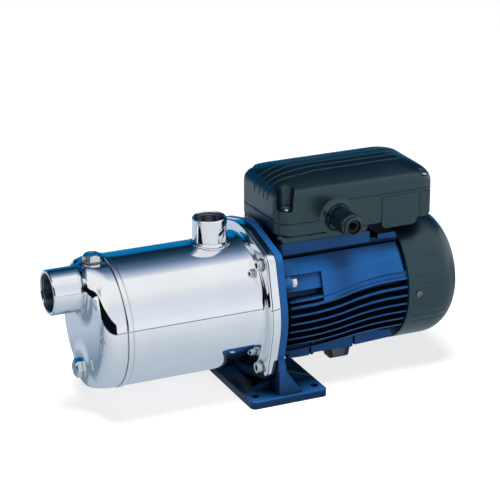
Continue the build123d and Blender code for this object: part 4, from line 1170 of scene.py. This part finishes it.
def seen_directly(tree):
    """1 for camera, glossy and transmission rays."""
    path = add_node(tree, "LightPath").outputs
    camera_or_glossy = arithmetic(tree, "MAXIMUM", path["Is Camera Ray"], path["Is Glossy Ray"])
    return arithmetic(tree, "MAXIMUM", camera_or_glossy, path["Is Transmission Ray"])


def white_world():
    world = bpy.data.worlds.new("studio")
    world.use_nodes = True
    tree = world.node_tree
    strength = add_node(tree, "MapRange", {"Value": seen_directly(tree), "To Min": WORLD_LIGHT,
                                           "To Max": 1.0})
    feed(tree, tree.nodes["Background"], {"Color": (1.0, 1.0, 1.0, 1.0),
                                          "Strength": strength.outputs["Result"]})
    bpy.context.scene.world = world


def flat_object(name, points, faces):
    """Object of a few faces with a material of its own; gives the object and the shader tree."""
    mesh = bpy.data.meshes.new(name)
    mesh.from_pydata(points, [], faces)
    material = bpy.data.materials.new(name)
    material.use_nodes = True
    mesh.materials.append(material)
    return link(bpy.data.objects.new(name, mesh)), material.node_tree


def plain_card(name, points, faces, colour):
    """Glowing card of one colour which only the shiny surfaces see: a painted reflection."""
    card, tree = flat_object(name, points, faces)
    tree.nodes.clear()
    glow = add_node(tree, "Emission", {"Color": colour})
    add_node(tree, "OutputMaterial", {"Surface": glow.outputs["Emission"]})
    card.visible_camera = False
    card.visible_diffuse = False
    card.visible_shadow = False
    card.visible_transmission = False
    return tree


def shade_card(tree, position, stops):
    """Colours a card along a 0 to 1 position, from (position, colour) stops."""
    fade = add_node(tree, "ValToRGB", {"Fac": position})
    bands = fade.color_ramp.elements
    while len(bands) < len(stops):
        bands.new(0.5)
    for band, (place, colour) in zip(bands, stops):
        band.position = place
    for band, (place, colour) in zip(bands, stops):
        band.color = linear(*colour)
    feed(tree, tree.nodes["Emission"], {"Color": fade.outputs["Color"]})


def own_place(tree):
    """Position on the card, as three sockets."""
    place = add_node(tree, "TexCoord").outputs["Object"]
    return add_node(tree, "SeparateXYZ", {"Vector": place}).outputs


# colours of the painted tent reflection, by angle from the horizon in front over the top
# to the rear
TENT_STOPS = [(0, (70, 80, 96)), (1.2, (92, 102, 118)), (1.6, (243, 246, 252)),
              (12, (240, 243, 251)), (18, (233, 237, 248)), (38, (228, 232, 242)),
              (49, (234, 237, 242)), (60, (247, 248, 250)), (86, (252, 252, 253)),
              (94, (190, 200, 218)), (101, (146, 164, 190)), (109, (92, 118, 146)),
              (124, (40, 68, 90)), (140, (16, 40, 60)), (147, (20, 50, 72)), (150, (5, 112, 172)),
              (168, (10, 126, 190)), (180, (4, 92, 150))]
# colours of the painted table reflection, by distance behind the shaft over the table's
# reach; the dark band just behind the shaft is a painted shadow of the pump
TABLE_REACH = 1.6
TABLE_Z = 0.0004
TABLE_STOPS = [(-1.6, (240, 243, 247)), (-0.4, (222, 227, 233)), (-0.2, (208, 217, 226)),
               (-0.12, (197, 207, 218)), (0.0, (178, 192, 207)), (0.03, (126, 146, 166)),
               (0.1, (122, 142, 162)), (0.2, (186, 199, 217)), (0.6, (202, 213, 228)),
               (1.5, (206, 216, 230))]
# path of the painted dark reflection screen on the table, as (x, y, height)
SCREEN_PATH = [(-1.5, 0.3, 0.62), (-1.5, -0.3, 0.62), (-1.32, -0.75, 0.6), (-0.95, -1.15, 0.52),
               (-0.5, -1.4, 0.42)]
SCREEN_FOOT_Z = 0.002


def band_faces(count):
    """Quads along a band of paired points."""
    return [(2 * k, 2 * k + 1, 2 * k + 3, 2 * k + 2) for k in range(count - 1)]


def painted_reflection_tent():
    """Painted reflection: glowing half round tent along the shaft, seen only in shiny surfaces;
    white in front and on top, slate and blue behind.
    """
    turns = np.linspace(0, pi, 61)
    points = [(x, -TENT_R * cos(turn), TENT_R * sin(turn)) for turn in turns
              for x in (-CARD_HALF, CARD_HALF)]
    tree = plain_card("painted_reflection_tent", points, band_faces(len(turns)), linear(240, 243, 250))
    place = own_place(tree)
    angle = arithmetic(tree, "ARCTAN2", place["Z"], arithmetic(tree, "MULTIPLY", place["Y"], -1.0))
    shade_card(tree, arithmetic(tree, "DIVIDE", angle, pi),
               [(turn / 180, colour) for turn, colour in TENT_STOPS])


def painted_table_reflection():
    """Painted reflection of a grey table under the pump, seen only in shiny surfaces, with a
    painted shadow that darkens it close to the pump.
    """
    points = [(x, y, TABLE_Z) for y in (-TABLE_REACH, TABLE_REACH) for x in (-CARD_HALF, CARD_HALF)]
    tree = plain_card("painted_table_reflection", points, [(0, 1, 3, 2)], linear(200, 208, 220))
    share = arithmetic(tree, "DIVIDE", own_place(tree)["Y"], 2 * TABLE_REACH)
    shade_card(tree, arithmetic(tree, "ADD", share, 0.5),
               [(place / (2 * TABLE_REACH) + 0.5, colour) for place, colour in TABLE_STOPS])


def painted_dark_reflection():
    """Painted reflection: dark glowing screen beside the suction end, bending round towards the
    camera, seen only in shiny surfaces.
    """
    points = [(x, y, z) for x, y, top in SCREEN_PATH for z in (SCREEN_FOOT_Z, top)]
    plain_card("painted_dark_reflection", points, band_faces(len(SCREEN_PATH)), linear(8, 12, 18))


def studio_floor():
    """White floor that keeps the pump's soft shadow."""
    half = FLOOR_HALF
    floor, tree = flat_object("floor", [(-half, -half, 0), (half, -half, 0), (half, half, 0),
                                        (-half, half, 0)], [(0, 1, 2, 3)])
    feed(tree, tree.nodes["Principled BSDF"], {
        "Base Color": FLOOR_COLOUR, "Roughness": 0.9, "Specular IOR Level": 0.0,
        "Emission Color": (1.0, 1.0, 1.0, 1.0),
        "Emission Strength": arithmetic(tree, "MULTIPLY", seen_directly(tree), FLOOR_LIFT)})


def studio():
    white_world()
    studio_floor()
    painted_reflection_tent()
    painted_table_reflection()
    painted_dark_reflection()
    soft_lamp("key", (-0.2, -0.2, 2.5), 1.1, 0.8, 112)
    soft_lamp("fill", (-0.35, -2.25, 0.7), 1.1, 0.7, 34)
    bpy.context.scene.view_settings.view_transform = "Standard"


# ---- carried-over nodes
def dress_nodes():
    """Every node of the model gets the material of its own slot."""
    for node in frame["nodes"].values():
        for place in node.material_slots:
            name = place.material.name.split(".")[0]
            place.material = FINISHES[name]


camera()
studio()
dress_nodes()
